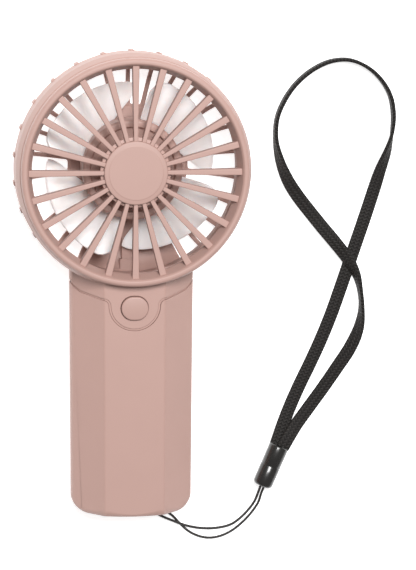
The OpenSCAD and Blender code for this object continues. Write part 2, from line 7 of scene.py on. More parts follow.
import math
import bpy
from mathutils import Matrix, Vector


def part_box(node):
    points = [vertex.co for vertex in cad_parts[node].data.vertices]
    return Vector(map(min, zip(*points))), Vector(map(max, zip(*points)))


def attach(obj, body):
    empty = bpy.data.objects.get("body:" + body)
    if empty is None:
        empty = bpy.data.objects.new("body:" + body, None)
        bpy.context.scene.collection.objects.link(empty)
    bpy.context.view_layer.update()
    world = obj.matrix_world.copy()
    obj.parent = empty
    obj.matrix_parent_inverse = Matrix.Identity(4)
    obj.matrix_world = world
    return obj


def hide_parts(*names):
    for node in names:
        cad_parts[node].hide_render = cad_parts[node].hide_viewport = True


bl_info = {
    "name": "Hand-held fan",
    "version": (1, 0, 0),
    "blender": (4, 5, 0),
    "location": "3D View > Sidebar > Fan",
    "description": "Builds a fan with a caged head, an eight-sided handle and a wrist strap",
    "category": "Add Mesh",
}

import bmesh
import bpy
from mathutils import Matrix, Vector

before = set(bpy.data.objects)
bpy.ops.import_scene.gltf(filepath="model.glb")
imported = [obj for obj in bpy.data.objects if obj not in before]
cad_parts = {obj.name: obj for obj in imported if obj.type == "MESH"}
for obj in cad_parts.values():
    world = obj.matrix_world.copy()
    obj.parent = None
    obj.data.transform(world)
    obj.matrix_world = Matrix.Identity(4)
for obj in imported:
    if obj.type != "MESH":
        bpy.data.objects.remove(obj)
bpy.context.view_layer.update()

MM = 0.001
TURN = 2 * math.pi
RIGHT_ANGLE = math.radians(90)
FAN, ROTOR, BUTTON = "fan", "rotor", "button"


def span(node):
    """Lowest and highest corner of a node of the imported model, in whole micrometres, in mm."""
    return [Vector(round(value / MM, 3) for value in corner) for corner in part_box(node)]


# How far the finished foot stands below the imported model's sleeve
FOOT_EXTRA = 0.5

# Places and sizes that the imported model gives
HEAD_Y = sum(corner.y for corner in span("rotor_cup")) / 2
HEAD_D = span("front_grille")[1].z
BARREL_R = span("head_housing")[1].x
FOOT_Y = span("handle_sleeve")[0].y - FOOT_EXTRA
HANDLE_T = span("handle_sleeve")[1].z
MID_Z = HANDLE_T / 2
HUB_TOP = span("impeller")[1].z
BUTTON_TOP = span("power_button")[1].z
BUTTON_Y = sum(corner.y for corner in span("power_button")) / 2

# Head
SHOULDER_R = 12.0
OPENING_R = 39.1
BARREL_IN = BARREL_R - 3
BARREL_TOP = HEAD_D - 3.4
RIB_BACK = HEAD_D - 5.2
RIB_FRONT = HEAD_D - 1.6
BOWL_T = 1.8
BACK_DISC_R = 23.4
BACK_RIB_HALF = 0.9

# Section of the channel that covers the motor's leads behind the impeller
LEAD_CHANNEL = [
    (-2.7, 1.6), (-2.3, 1.6), (-2.3, 4.0), (2.3, 4.0), (2.3, 1.6), (2.7, 1.6), (2.7, 4.2),
    (2.5, 4.4), (-2.5, 4.4), (-2.7, 4.2),
]

# Impeller
HUB_R = 19.2
TIP_R = 35.7
HUB_BACK = 4.4
CUP_R = 16.0
CUP_TOP = 12.6
SHAFT_R = 1.0

# Handle
HALF_TOP = 23.85
HALF_FOOT = 23.36
FLAT_TOP = 11.6
FLAT_FOOT = 11.4
SIDE_HALF = 2.3
TAPER_L = 80
RIDGE_END = 88.4
RIDGE_ROUND = 0.5
SIDE_ROUND = 1.3
FOOT_ROUND = 3.0
FOOT_L = 7
FOOT_CORNER = 7
FOOT_BOW = 0.5
WALL = 1.8
CAP_R = 4.5
CAP_HALF = 0.7
SKIRT_R = 5.6
HOLE_R = 4.7
SEAM_Y = 1.4
SEAM_PLAY = 0.06
SEAM_DEPTH = 0.42
STEP_APART = 0.012
SHOULDER_Y = -4.4
TONGUE_Y = -7.2
TONGUE_R = 9.1
TONGUE_FILLET = 3.0
NECK_TOP = 14.0

# Charging opening and strap eyelet in the foot
PORT_R = 1.78
PORT_HALF = 2.89
EYE_X = (7.0, 11.0)
EYE_Z = 4.6
EYE_R = 0.9

# Routes of the strap: the thin cord from the bead round the eyelet's bar and back, then the
# webbing with its roll in degrees, 0 lying flat and 90 standing on its edge
CORD_ROUTE = [
    (53.7, -84.4, 3.9), (52.9, -87.2, 2.7), (51.9, -91.4, 0.9), (48.9, -95.8, 0.6),
    (45.4, -99.4, 0.6), (41.3, -102.5, 0.6), (37, -104.4, 0.6), (32.7, -105, 0.6),
    (28.4, -104.2, 0.6), (24.2, -102, 0.6), (20.6, -98.6, 0.6), (17.6, -95.4, 1),
    (14.4, -93.2, 2.4), (11.8, -91.8, 4), (11, -89.6, 4.6), (11, -87, 4.6),
    (10.4, -85.6, 4.6), (9, -85, 4.6), (7.6, -85.6, 4.6), (7, -87, 4.6),
    (7, -89.6, 4.6), (8, -91.8, 4.5), (10.8, -93.8, 3.6), (14.4, -95.8, 2.6),
    (17.4, -97.2, 2), (20.6, -98.6, 1.8), (24.2, -99.9, 1.2), (28.4, -100.9, 0.6),
    (32.7, -101.2, 0.6), (37, -100.9, 0.6), (41, -99.9, 0.6), (44.2, -97.9, 0.6),
    (47.5, -94.8, 0.6), (50.4, -90.9, 0.9), (51.6, -87, 2.7), (52.4, -84, 3.9),
]
WEBBING_ROUTE = [
    (61, -68.5, 4.7, 0), (63.4, -64.6, 4.1, 0), (66.8, -59.6, 2.6, 0), (72, -53, 1.1, 0),
    (77.6, -45.4, 0.8, 0), (83, -37.4, 1.1, 6), (88, -29.4, 1.9, 26), (91.2, -21.4, 2.7, 56),
    (92.2, -13.6, 2.8, 84), (91.4, -6, 2.9, 84), (89.6, 0.4, 3, 62), (86.2, 6.2, 3, 32),
    (81.6, 12.2, 2.8, 12), (76.6, 18.2, 1.8, 0), (71.6, 24.4, 1.1, 0), (66.6, 30.8, 1.3, 10),
    (62.4, 37.4, 2.2, 34), (59.2, 45.2, 2.7, 62), (57.6, 53, 2.7, 86), (57.9, 60.8, 2.7, 90),
    (60.4, 67.6, 2.7, 90), (64.8, 74.2, 2.7, 90), (71, 79.7, 2.7, 90), (78.4, 83.3, 2.7, 90),
    (86, 83.9, 2.7, 90), (93, 81.2, 2.7, 90), (98.6, 76.3, 2.7, 90), (102.4, 70, 2.7, 90),
    (103.8, 62.8, 2.7, 90), (103.4, 55.4, 2.7, 82), (101.8, 48.4, 2.6, 54), (99.2, 41, 1.9, 26),
    (96.8, 33, 1.1, 6), (93.8, 23.4, 0.8, 0), (90.6, 13.8, 0.8, 0), (87.4, 4.2, 0.8, 0),
    (84, -6, 0.8, 0), (80.6, -15.8, 0.8, 0), (76.8, -25.4, 0.8, 0), (72.6, -34.8, 0.8, 0),
    (68.2, -44, 0.8, 0), (64.4, -52.6, 1, 0), (61.4, -60, 1.9, 0), (59.4, -65.4, 2.8, 0),
    (58.6, -67.6, 3.1, 0),
]
BEAD_TOP = (59.8, -67.8, 3.9)
BEAD_TURN = math.radians(-23.3)
BEAD_R = 3.9
BEAD_L = 17.4


# ---------------------------------------------------------------- sizes and colours to change


class FanSizes(bpy.types.PropertyGroup):
    """Sizes that a user would change."""

    front_ribs: bpy.props.IntProperty(
        name="Front ribs", description="Number of ribs in the front grille",
        default=24, min=12, max=36
    )
    rear_ribs: bpy.props.IntProperty(
        name="Rear ribs", description="Number of ribs in the rear grille",
        default=26, min=12, max=40
    )
    blades: bpy.props.IntProperty(
        name="Blades", description="Number of impeller blades", default=4, min=3, max=7
    )
    rib_rim_width: bpy.props.FloatProperty(
        name="Rib width at rim", description="Width of a front rib at the rim",
        default=0.0026, unit="LENGTH"
    )
    rib_disc_width: bpy.props.FloatProperty(
        name="Rib width at disc", description="Width of a front rib at the disc",
        default=0.0016, unit="LENGTH"
    )
    disc_radius: bpy.props.FloatProperty(
        name="Disc radius", description="Radius of the disc in the middle of the front grille",
        default=0.0121, unit="LENGTH"
    )
    seam_gap: bpy.props.FloatProperty(
        name="Seam gap", description="Gap between the upper body and the sleeve",
        default=0.00085, unit="LENGTH"
    )
    seam_round: bpy.props.FloatProperty(
        name="Seam rounding", description="Width of the rounded edges along the seam",
        default=0.00018, unit="LENGTH"
    )
    webbing_width: bpy.props.FloatProperty(
        name="Webbing width", description="Width of the wrist webbing", default=0.0052, unit="LENGTH"
    )
    webbing_thickness: bpy.props.FloatProperty(
        name="Webbing thickness", description="Thickness of the wrist webbing",
        default=0.0014, unit="LENGTH"
    )
    cord_diameter: bpy.props.FloatProperty(
        name="Cord diameter", description="Thickness of the thin strap cord",
        default=0.001, unit="LENGTH"
    )


class FanColours(bpy.types.PropertyGroup):
    """Colours that a user would change."""

    casing: bpy.props.FloatVectorProperty(
        name="Casing", description="Colour of the moulded casings",
        default=(0.408, 0.257, 0.222), subtype="COLOR", min=0, max=1
    )
    impeller: bpy.props.FloatVectorProperty(
        name="Impeller", description="Colour of the impeller",
        default=(0.93, 0.89, 0.88), subtype="COLOR", min=0, max=1
    )
    strap: bpy.props.FloatVectorProperty(
        name="Strap", description="Colour of the webbing's threads",
        default=(0.0115, 0.0098, 0.0088), subtype="COLOR", min=0, max=1
    )


class StageSettings(bpy.types.PropertyGroup):
    """Camera and light."""

    camera_place: bpy.props.FloatVectorProperty(
        name="Camera place", description="Where the camera stands",
        default=(-0.1306, 0.1878, 1.2109), subtype="TRANSLATION", unit="LENGTH"
    )
    camera_aim: bpy.props.FloatVectorProperty(
        name="Camera aim", description="Point in the middle of the picture",
        default=(0.02968, -0.00164, 0.015), subtype="TRANSLATION", unit="LENGTH"
    )
    camera_roll: bpy.props.FloatProperty(
        name="Camera roll", description="Turn of the camera about its own axis",
        default=math.radians(0.295), subtype="ANGLE"
    )
    lens: bpy.props.FloatProperty(
        name="Lens", description="Focal length on a 36 mm sensor",
        default=200, subtype="DISTANCE_CAMERA"
    )
    key_power: bpy.props.FloatProperty(
        name="Front light", description="Power of the large light above the fan",
        default=30, unit="POWER"
    )
    sky: bpy.props.FloatProperty(
        name="Sky", description="Strength of the even light from all sides", default=0.3, min=0
    )
    floor_glow: bpy.props.FloatProperty(
        name="Floor glow", description="Light that the table itself gives off", default=0.7, min=0
    )


# ---------------------------------------------------------------- finishes


class Value:
    """A socket of a shader tree that can stand in sums; each sum adds its Math node."""

    def __init__(self, finish, socket):
        self.finish = finish
        self.socket = socket

    def math(self, operation, *others):
        return self.finish.node(
            "ShaderNodeMath", {"operation": operation}, dict(enumerate([self, *others]))
        )

    def __add__(self, other):
        return self.math("ADD", other)

    __radd__ = __add__

    def __mul__(self, other):
        return self.math("MULTIPLY", other)

    __rmul__ = __mul__

    def __sub__(self, other):
        return self.math("SUBTRACT", other)

    def __rsub__(self, other):
        return self.finish.node("ShaderNodeMath", {"operation": "SUBTRACT"}, {0: other, 1: self})

    def __truediv__(self, other):
        return self.math("DIVIDE", other)

    def __pow__(self, other):
        return self.math("POWER", other)


class Finish:
    """One material and the nodes that it is made of."""

    def __init__(self, name):
        self.material = bpy.data.materials.new(name)
        self.material.use_nodes = True
        self.tree = self.material.node_tree
        self.tree.nodes.clear()

    def node(self, kind, settings=None, sockets=None, output=0):
        """Adds a node; its settings come first, then the values or links of its sockets."""
        made = self.tree.nodes.new(kind)
        for name, value in (settings or {}).items():
            setattr(made, name, value)
        for name, value in (sockets or {}).items():
            if isinstance(value, Value):
                self.tree.links.new(value.socket, made.inputs[name])
            else:
                made.inputs[name].default_value = value
        return Value(self, made.outputs[output]) if made.outputs else None

    def place(self):
        """Object coordinates, in metres."""
        return self.node("ShaderNodeTexCoord", output="Object")

    def map_values(self, name):
        """The two values of one of the piece's own maps."""
        whole = self.node("ShaderNodeUVMap", {"uv_map": name})
        return [self.node("ShaderNodeSeparateXYZ", {}, {0: whole}, axis) for axis in "XY"]

    def noise(self, size, place=None, detail=2.0, **more):
        """Soft random pattern whose grains are about size millimetres wide."""
        sockets = {"Vector": place or self.place(), "Scale": 1 / (size * MM), "Detail": detail}
        return self.node("ShaderNodeTexNoise", {}, {**sockets, **more})

    def mix(self, share, first, second):
        """Colour between first and second."""
        made = self.tree.nodes.new("ShaderNodeMix")
        made.data_type = "RGBA"
        for index, value in ((0, share), (6, first), (7, second)):
            if isinstance(value, Value):
                self.tree.links.new(value.socket, made.inputs[index])
            else:
                made.inputs[index].default_value = value if index == 0 else (*value, 1)
        return Value(self, made.outputs[2])

    def bump(self, height, distance, strength):
        """Relief whose full height is distance millimetres."""
        sockets = {"Height": height, "Distance": distance * MM, "Strength": strength}
        return self.node("ShaderNodeBump", {}, sockets)

    def surface(self, **sockets):
        """The shader itself; socket names are written with _ for a space."""
        named = {name.replace("_", " "): value for name, value in sockets.items()}
        shader = self.node("ShaderNodeBsdfPrincipled", {}, named)
        self.node("ShaderNodeOutputMaterial", {}, {"Surface": shader})
        return self.material


def shade(colour, factor):
    return tuple(min(1.0, c * factor) for c in colour)


def moulded_plastic(name, colour, grain=0.16, relief=0.012, roughness=0.5):
    """Matte moulding: fine spark-eroded grain, faint flow clouds and slightly uneven gloss."""
    f = Finish(name)
    fine = f.noise(grain, detail=3.0)
    cloud = f.noise(14, detail=2.0)
    tone = f.mix(cloud, shade(colour, 0.965), shade(colour, 1.035))
    speck = f.mix(fine, shade(colour, 0.94), shade(colour, 1.06))
    base = f.mix(0.35, tone, speck)
    gloss = roughness - 0.06 + 0.08 * fine + 0.05 * cloud
    return f.surface(
        Base_Color=base, Roughness=gloss, Normal=f.bump(fine, relief, 0.6), IOR=1.48
    )


def pearl_plastic(name, colour):
    """Pale glossy moulding with a faint pearly streak and a clear outer skin."""
    f = Finish(name)
    stretched = f.node("ShaderNodeMapping", {}, {"Vector": f.place(), "Scale": (1, 1, 6)})
    streak = f.noise(5, stretched, detail=3.0, Distortion=0.6)
    fine = f.noise(0.3, detail=2.0)
    base = f.mix(streak, shade(colour, 0.96), shade(colour, 1.04))
    return f.surface(
        Base_Color=base,
        Roughness=0.3 + 0.1 * streak + 0.06 * fine,
        Normal=f.bump(fine, 0.006, 0.5),
        Coat_Weight=0.15,
        Coat_Roughness=0.3,
        Subsurface_Weight=0.35,
        Subsurface_Scale=0.004,
        Subsurface_Radius=(1.0, 0.7, 0.6),
    )


def gloss_plastic(name, colour, roughness=0.16):
    """Glossy moulding or wrap with hair scratches and cloudy gloss."""
    f = Finish(name)
    stretched = f.node("ShaderNodeMapping", {}, {"Vector": f.place(), "Scale": (1, 9, 1)})
    scratch = f.noise(0.5, stretched, detail=4.0)
    cloud = f.noise(4, detail=2.0)
    base = f.mix(cloud, shade(colour, 0.8), shade(colour, 1.3))
    return f.surface(
        Base_Color=base,
        Roughness=roughness + 0.12 * scratch + 0.08 * cloud,
        Normal=f.bump(scratch, 0.006, 0.5),
        Coat_Weight=0.3,
        Coat_Roughness=0.08,
    )


def metal(name, colour, roughness, grain=0.12, stretch=(1, 12, 1)):
    """Plain metal with a drawn or turned grain and patches of dulled surface."""
    f = Finish(name)
    stretched = f.node("ShaderNodeMapping", {}, {"Vector": f.place(), "Scale": stretch})
    lines = f.noise(grain, stretched, detail=4.0)
    patch = f.noise(2.5, detail=3.0)
    base = f.mix(patch, shade(colour, 0.86), shade(colour, 1.08))
    return f.surface(
        Base_Color=base,
        Metallic=1.0,
        Roughness=roughness + 0.18 * lines + 0.1 * patch,
        Normal=f.bump(lines, 0.004, 0.6),
    )


def laminated_steel(name):
    """Stack of thin steel sheets, seen as fine lines across the shaft's direction."""
    f = Finish(name)
    height = f.node("ShaderNodeSeparateXYZ", {}, {0: f.place()}, "Z")
    sheet_t = 0.35 * MM
    sheet = (height * (TURN / sheet_t)).math("SINE") * 0.5 + 0.5
    patch = f.noise(1.5, detail=3.0)
    base = f.mix(sheet, (0.13, 0.13, 0.14), (0.34, 0.34, 0.36))
    return f.surface(
        Base_Color=f.mix(0.3, base, f.mix(patch, (0.10, 0.09, 0.09), (0.4, 0.39, 0.38))),
        Metallic=0.8,
        Roughness=0.34 + 0.2 * patch,
        Normal=f.bump(sheet, 0.03, 0.7),
    )


def wound_wire(name):
    """Enamelled copper wound in close turns."""
    f = Finish(name)
    height = f.node("ShaderNodeSeparateXYZ", {}, {0: f.place()}, "Z")
    wire_pitch = 0.32 * MM
    turn = (height * (TURN / wire_pitch)).math("SINE").math("ABSOLUTE")
    shift = f.noise(0.8, detail=2.0)
    # Painted light: the colour follows each turn's height, with painted highlight on the crest of
    # each wire and painted shade in the gaps between turns; the noise is the wire's own uneven tone.
    base = f.mix(turn * 0.8 + shift * 0.2, (0.22, 0.07, 0.02), (0.78, 0.33, 0.12))
    return f.surface(
        Base_Color=base, Metallic=0.7, Roughness=0.25 + 0.15 * shift, Normal=f.bump(turn, 0.1, 0.8)
    )


def circuit_board(name):
    """Solder mask over a faint grid of tracks, with a glass weave under it."""
    f = Finish(name)
    weave = f.node(
        "ShaderNodeTexBrick", {"offset": 0.5},
        {"Vector": f.place(), "Scale": 1 / (1.6 * MM), "Mortar Size": 0.05,
         "Color1": (0.02, 0.17, 0.08, 1), "Color2": (0.016, 0.14, 0.07, 1),
         "Mortar": (0.05, 0.26, 0.12, 1)},
    )
    speck = f.noise(0.4, detail=3.0)
    return f.surface(
        Base_Color=f.mix(speck * 0.4, weave, (0.01, 0.10, 0.05)),
        Roughness=0.28 + 0.12 * speck,
        Normal=f.bump(speck, 0.01, 0.5),
        Coat_Weight=0.3,
    )


def foam(name, colour):
    """Closed-cell foam with cells half a millimetre wide."""
    f = Finish(name)
    cells = f.node(
        "ShaderNodeTexVoronoi", {"feature": "F1"}, {"Vector": f.place(), "Scale": 1 / (0.5 * MM)}
    )
    return f.surface(
        Base_Color=f.mix(cells, shade(colour, 0.5), shade(colour, 1.4)),
        Roughness=0.95,
        Normal=f.bump(cells, 0.1, 0.8),
    )


def braided_webbing(name, colour, width):
    """Flat braid: rows side by side, each of slanting stitches that meet in a V down its middle.

    The piece's own map runs across the band in its first value and along it in its second, both
    in millimetres.
    """
    f = Finish(name)
    across, along = f.map_values("band")
    rows = 3.0
    in_lane = (across * (rows / width)).math("FRACT")
    fold = (in_lane - 0.5).math("ABSOLUTE")
    stitch_pitch = 1.4
    slant = along / stitch_pitch + fold * 1.3
    stitch = (slant * TURN).math("SINE") * 0.5 + 0.5
    hollow = (in_lane * math.pi).math("SINE")
    thread = f.noise(0.12, detail=3.0)
    height = stitch * 0.62 + hollow * 0.38
    # Painted light: the colour is lighter on the stitch crests as painted highlight and darker in
    # the hollows between rows as painted shade; the thread noise is the threads' own uneven tone.
    thread_tone_and_painted_crest_light = (height ** 1.6) * 0.75 + thread * 0.25
    base = f.mix(thread_tone_and_painted_crest_light, shade(colour, 0.3), shade(colour, 2.2))
    return f.surface(
        Base_Color=base,
        Roughness=0.52 + 0.25 * (1 - height),
        Normal=f.bump(height + thread * 0.2, 0.28, 0.9),
        Specular_IOR_Level=0.25,
    )


def braided_cord(name, colour):
    """Round braid: crossing diagonal strands on the cord's own map."""
    f = Finish(name)
    u, v = f.map_values("UVMap")
    turns = 230.0
    one = ((u * turns + v * 2) * TURN).math("SINE")
    two = ((u * turns - v * 2) * TURN).math("SINE")
    height = one.math("MAXIMUM", two) * 0.5 + 0.5
    # Painted light: the colour follows the strands' height, with painted highlight on the strand
    # crests and painted shade in the gaps between them.
    return f.surface(
        Base_Color=f.mix(height, shade(colour, 0.5), shade(colour, 2.0)),
        Roughness=0.55 + 0.2 * (1 - height),
        Normal=f.bump(height, 0.08, 0.8),
    )


# ---------------------------------------------------------------- mesh helpers


def arc(centre, radius, start, end, steps):
    """Points on a circle, from one angle in degrees to another."""
    return [
        (
            centre[0] + radius * math.cos(math.radians(start + (end - start) * k / steps)),
            centre[1] + radius * math.sin(math.radians(start + (end - start) * k / steps)),
        )
        for k in range(steps + 1)
    ]


def rounded(corners, steps=4):
    """Points of a closed outline whose corners, given as (x, y, radius), are rounded."""
    points = []
    for i, (x, y, radius) in enumerate(corners):
        here = Vector((x, y))
        back = Vector(corners[i - 1][:2]) - here
        ahead = Vector(corners[(i + 1) % len(corners)][:2]) - here
        half = back.angle(ahead) / 2
        reach = min(radius / math.tan(half), back.length * 0.48, ahead.length * 0.48)
        if reach < 1e-4:
            points.append(tuple(here))
            continue
        radius = reach * math.tan(half)
        middle = (back.normalized() + ahead.normalized()).normalized()
        centre = here + middle * (radius / math.sin(half))
        first = here + back.normalized() * reach - centre
        last = here + ahead.normalized() * reach - centre
        start = math.atan2(first.y, first.x)
        sweep = (math.atan2(last.y, last.x) - start + math.pi) % TURN - math.pi
        for k in range(steps + 1):
            angle = start + sweep * k / steps
            points.append((centre.x + radius * math.cos(angle), centre.y + radius * math.sin(angle)))
    return points


def everything(bm):
    return bm.verts[:] + bm.edges[:] + bm.faces[:]


def ring_loop(bm, points, closed=True):
    """Edges through points, and back to the first one if the loop is closed."""
    verts = [bm.verts.new(p) for p in points]
    pairs = zip(verts, verts[1:] + verts[:1] if closed else verts[1:])
    return verts, [bm.edges.new(pair) for pair in pairs]


def lathed(profile, steps, closed=True):
    """A new bmesh with a profile of (radius, height) turned once round the Z axis."""
    bm = bmesh.new()
    verts, edges = ring_loop(bm, [(r, 0, z) for r, z in profile], closed)
    bmesh.ops.spin(
        bm, geom=verts + edges, cent=(0, 0, 0), axis=(0, 0, 1), dvec=(0, 0, 0),
        angle=TURN, steps=steps, use_merge=True, use_duplicate=False,
    )
    bmesh.ops.remove_doubles(bm, verts=bm.verts, dist=1e-4)
    return bm


def turned(profile, steps, closed=True):
    """A lathed profile that closes on itself or on the axis, with its faces outwards."""
    bm = lathed(profile, steps, closed)
    bmesh.ops.recalc_face_normals(bm, faces=bm.faces)
    return bm


def prism(outline, low, high):
    """A new bmesh with an outline of (x, y) standing between two heights."""
    bm = bmesh.new()
    face = bm.faces.new([bm.verts.new((x, y, low)) for x, y in outline])
    made = bmesh.ops.extrude_face_region(bm, geom=[face])["geom"]
    top = [v for v in made if isinstance(v, bmesh.types.BMVert)]
    bmesh.ops.translate(bm, vec=(0, 0, high - low), verts=top)
    bmesh.ops.recalc_face_normals(bm, faces=bm.faces)
    return bm


def stadium(radius, half, steps=16):
    """Outline of a slot with round ends."""
    return arc((half, 0), radius, -90, 90, steps) + arc((-half, 0), radius, 90, 270, steps)


def moved(bm, offset=(0, 0, 0), turn=0.0, axis="Z"):
    """The bmesh turned about an axis through the origin and then moved."""
    bmesh.ops.rotate(bm, verts=bm.verts, cent=(0, 0, 0), matrix=Matrix.Rotation(turn, 3, axis))
    bmesh.ops.translate(bm, vec=offset, verts=bm.verts)
    return bm


def soften(bm, width, segments=2, sharper=50, chosen=None):
    """Rounds the edges that are sharper than an angle in degrees."""
    edges = [
        e for e in bm.edges
        if e.is_manifold and e.calc_face_angle(0) > math.radians(sharper)
        and (chosen is None or chosen(e))
    ]
    bmesh.ops.bevel(
        bm, geom=edges, offset=width, offset_type="OFFSET", segments=segments, profile=0.5,
        affect="EDGES", clamp_overlap=False, loop_slide=True, material=-1,
    )
    return bm


def around(bm, count):
    """Repeats everything in the bmesh count times about the Z axis."""
    bmesh.ops.spin(
        bm, geom=everything(bm), cent=(0, 0, 0), axis=(0, 0, 1), dvec=(0, 0, 0),
        angle=TURN * (count - 1) / count, steps=count - 1, use_merge=False, use_duplicate=True,
    )
    return bm


def joined(*parts):
    """One bmesh that holds the others as separate closed shells."""
    whole = bmesh.new()
    for part in parts:
        mesh = bpy.data.meshes.new("part")
        part.to_mesh(mesh)
        part.free()
        whole.from_mesh(mesh)
        bpy.data.meshes.remove(mesh)
    return whole


def bare_object(bm, name):
    mesh = bpy.data.meshes.new(name)
    bm.to_mesh(mesh)
    bm.free()
    obj = bpy.data.objects.new(name, mesh)
    bpy.context.scene.collection.objects.link(obj)
    return obj


def as_modified(obj):
    """A new bmesh of the object with its modifiers, and the object is removed."""
    bpy.context.view_layer.update()
    shown = obj.evaluated_get(bpy.context.evaluated_depsgraph_get())
    bm = bmesh.new()
    bm.from_mesh(shown.to_mesh())
    shown.to_mesh_clear()
    remove(obj)
    return bm


def remove(obj):
    mesh = obj.data
    bpy.data.objects.remove(obj)
    bpy.data.meshes.remove(mesh)


def combine(first, second, operation):
    """Two closed bmeshes cut from, or joined to, each other."""
    target, tool = bare_object(first, "target"), bare_object(second, "tool")
    modifier = target.modifiers.new("Combine", "BOOLEAN")
    modifier.operation = operation
    modifier.solver = "EXACT"
    modifier.object = tool
    bm = as_modified(target)
    remove(tool)
    if not bm.faces:
        raise RuntimeError(f"the {operation} left nothing")
    return bm


def in_order(bm):
    """Sorts the elements by place, so that what follows depends less on how they were made."""
    def rank(co):
        return round(co.x, 2) + 1e3 * round(co.y, 2) + 1e6 * round(co.z, 2)

    bm.verts.sort(key=lambda v: rank(v.co))
    bm.edges.sort(key=lambda e: rank(e.verts[0].co + e.verts[1].co))
    bm.faces.sort(key=lambda f: rank(f.calc_center_median()))
    for elements in (bm.verts, bm.edges, bm.faces):
        elements.index_update()


def weighted_bevel(bm, widths, segments):
    """Rounds each edge by its own width; widths holds them by the edge's number."""
    widest = max(widths.values())
    bm.edges.index_update()
    obj = bare_object(bm, "rounded")
    weights = obj.data.attributes.new("bevel_weight_edge", "FLOAT", "EDGE")
    for index, width in widths.items():
        weights.data[index].value = width / widest
    modifier = obj.modifiers.new("Round", "BEVEL")
    modifier.limit_method = "WEIGHT"
    modifier.width = widest
    modifier.segments = segments
    modifier.profile = 0.5
    modifier.use_clamp_overlap = False
    return as_modified(obj)


def finished(bm, name, material, body, slot, *nodes, sharp=32, at_head=False, flat_faces=False):
    """Makes the piece in metres, lets it ride on its body and stand for its nodes."""
    if at_head:
        bmesh.ops.translate(bm, vec=(0, HEAD_Y, 0), verts=bm.verts)
    bmesh.ops.scale(bm, vec=(MM, MM, MM), verts=bm.verts)
    obj = bare_object(bm, name)
    obj.data.materials.append(material)
    obj.data.shade_smooth()
    obj.data.set_sharp_from_angle(angle=math.radians(sharp))
    if flat_faces:
        modifier = obj.modifiers.new("Even faces", "WEIGHTED_NORMAL")
        modifier.keep_sharp = True
    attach(obj, body)
    if nodes:
        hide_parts(*nodes)
    return obj


def finish_node(node, material):
    """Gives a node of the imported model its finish."""
    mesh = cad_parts[node].data
    mesh.materials.clear()
    mesh.materials.append(material)


# ---------------------------------------------------------------- strap


def smooth_route(route, steps):
    """Points on a smooth curve through the route's points."""
    points = [Vector(p) for p in route]
    last = len(points) - 1
    curve = []
    for i in range(last):
        p0, p1, p2, p3 = points[max(i - 1, 0)], points[i], points[i + 1], points[min(i + 2, last)]
        for k in range(steps):
            t = k / steps
            curve.append(
                0.5 * (2 * p1 + (p2 - p0) * t + (2 * p0 - 5 * p1 + 4 * p2 - p3) * t * t
                       + (3 * p1 - p0 - 3 * p2 + p3) * t ** 3)
            )
    return curve + [points[last]]


def build_cord(sizes, colours):
    """The thin cord: out of the bead, round the bar of the eyelet and back into the bead."""
    curve = bpy.data.curves.new("strap_cord", "CURVE")
    curve.dimensions = "3D"
    curve.bevel_depth = sizes.cord_diameter / 2
    curve.bevel_resolution = 3
    curve.use_fill_caps = True
    line = [p * MM for p in smooth_route(CORD_ROUTE, 5)]
    spline = curve.splines.new("POLY")
    spline.points.add(len(line) - 1)
    for point, place in zip(spline.points, line):
        point.co = (*place, 1)
    spline.use_smooth = True
    cord = bpy.data.objects.new("wrist_cord", curve)
    bpy.context.scene.collection.objects.link(cord)
    curve.materials.append(braided_cord("Braided cord", colours.strap))
    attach(cord, FAN)
    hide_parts("strap_cord")


def band_section(width, thickness):
    """Outline across the webbing, from its middle line: flat faces and rolled edges."""
    return rounded(
        [(x * width / 2, z * thickness / 2, thickness * 0.42)
         for x, z in ((-1, -1), (1, -1), (1, 1), (-1, 1))], 3
    )


def build_webbing(sizes, colours):
    """The wrist loop: a flat band swept along its route, lying flat or on its edge."""
    width, thickness = sizes.webbing_width / MM, sizes.webbing_thickness / MM
    section = band_section(width, thickness)
    line = smooth_route(WEBBING_ROUTE, 8)
    bm = bmesh.new()
    band_map = bm.loops.layers.uv.new("band")
    along = 0.0
    rings, places = [], {}
    for i, point in enumerate(line):
        before, after = line[max(i - 1, 0)], line[min(i + 1, len(line) - 1)]
        heading = (after.xyz - before.xyz).normalized()
        side = heading.cross(Vector((0, 0, 1))).normalized()
        top = side.cross(heading)
        roll = math.radians(point.w)
        across = side * math.cos(roll) + top * math.sin(roll)
        up = top * math.cos(roll) - side * math.sin(roll)
        along += (point.xyz - before.xyz).length
        ring = [bm.verts.new(point.xyz + across * x + up * z) for x, z in section]
        places.update({vert: (x + width / 2, along) for vert, (x, z) in zip(ring, section)})
        rings.append([bm.edges.new(pair) for pair in zip(ring, ring[1:] + ring[:1])])
    for first, second in zip(rings, rings[1:]):
        bmesh.ops.bridge_loops(bm, edges=first + second)
    bmesh.ops.holes_fill(bm, edges=rings[0] + rings[-1], sides=0)
    bmesh.ops.recalc_face_normals(bm, faces=bm.faces)
    for face in bm.faces:
        for loop in face.loops:
            loop[band_map].uv = places[loop.vert]
    finish = braided_webbing("Braided webbing", colours.strap, width)
    webbing = finished(bm, "wrist_webbing", finish, FAN, "black_webbing", "strap_webbing", sharp=60)


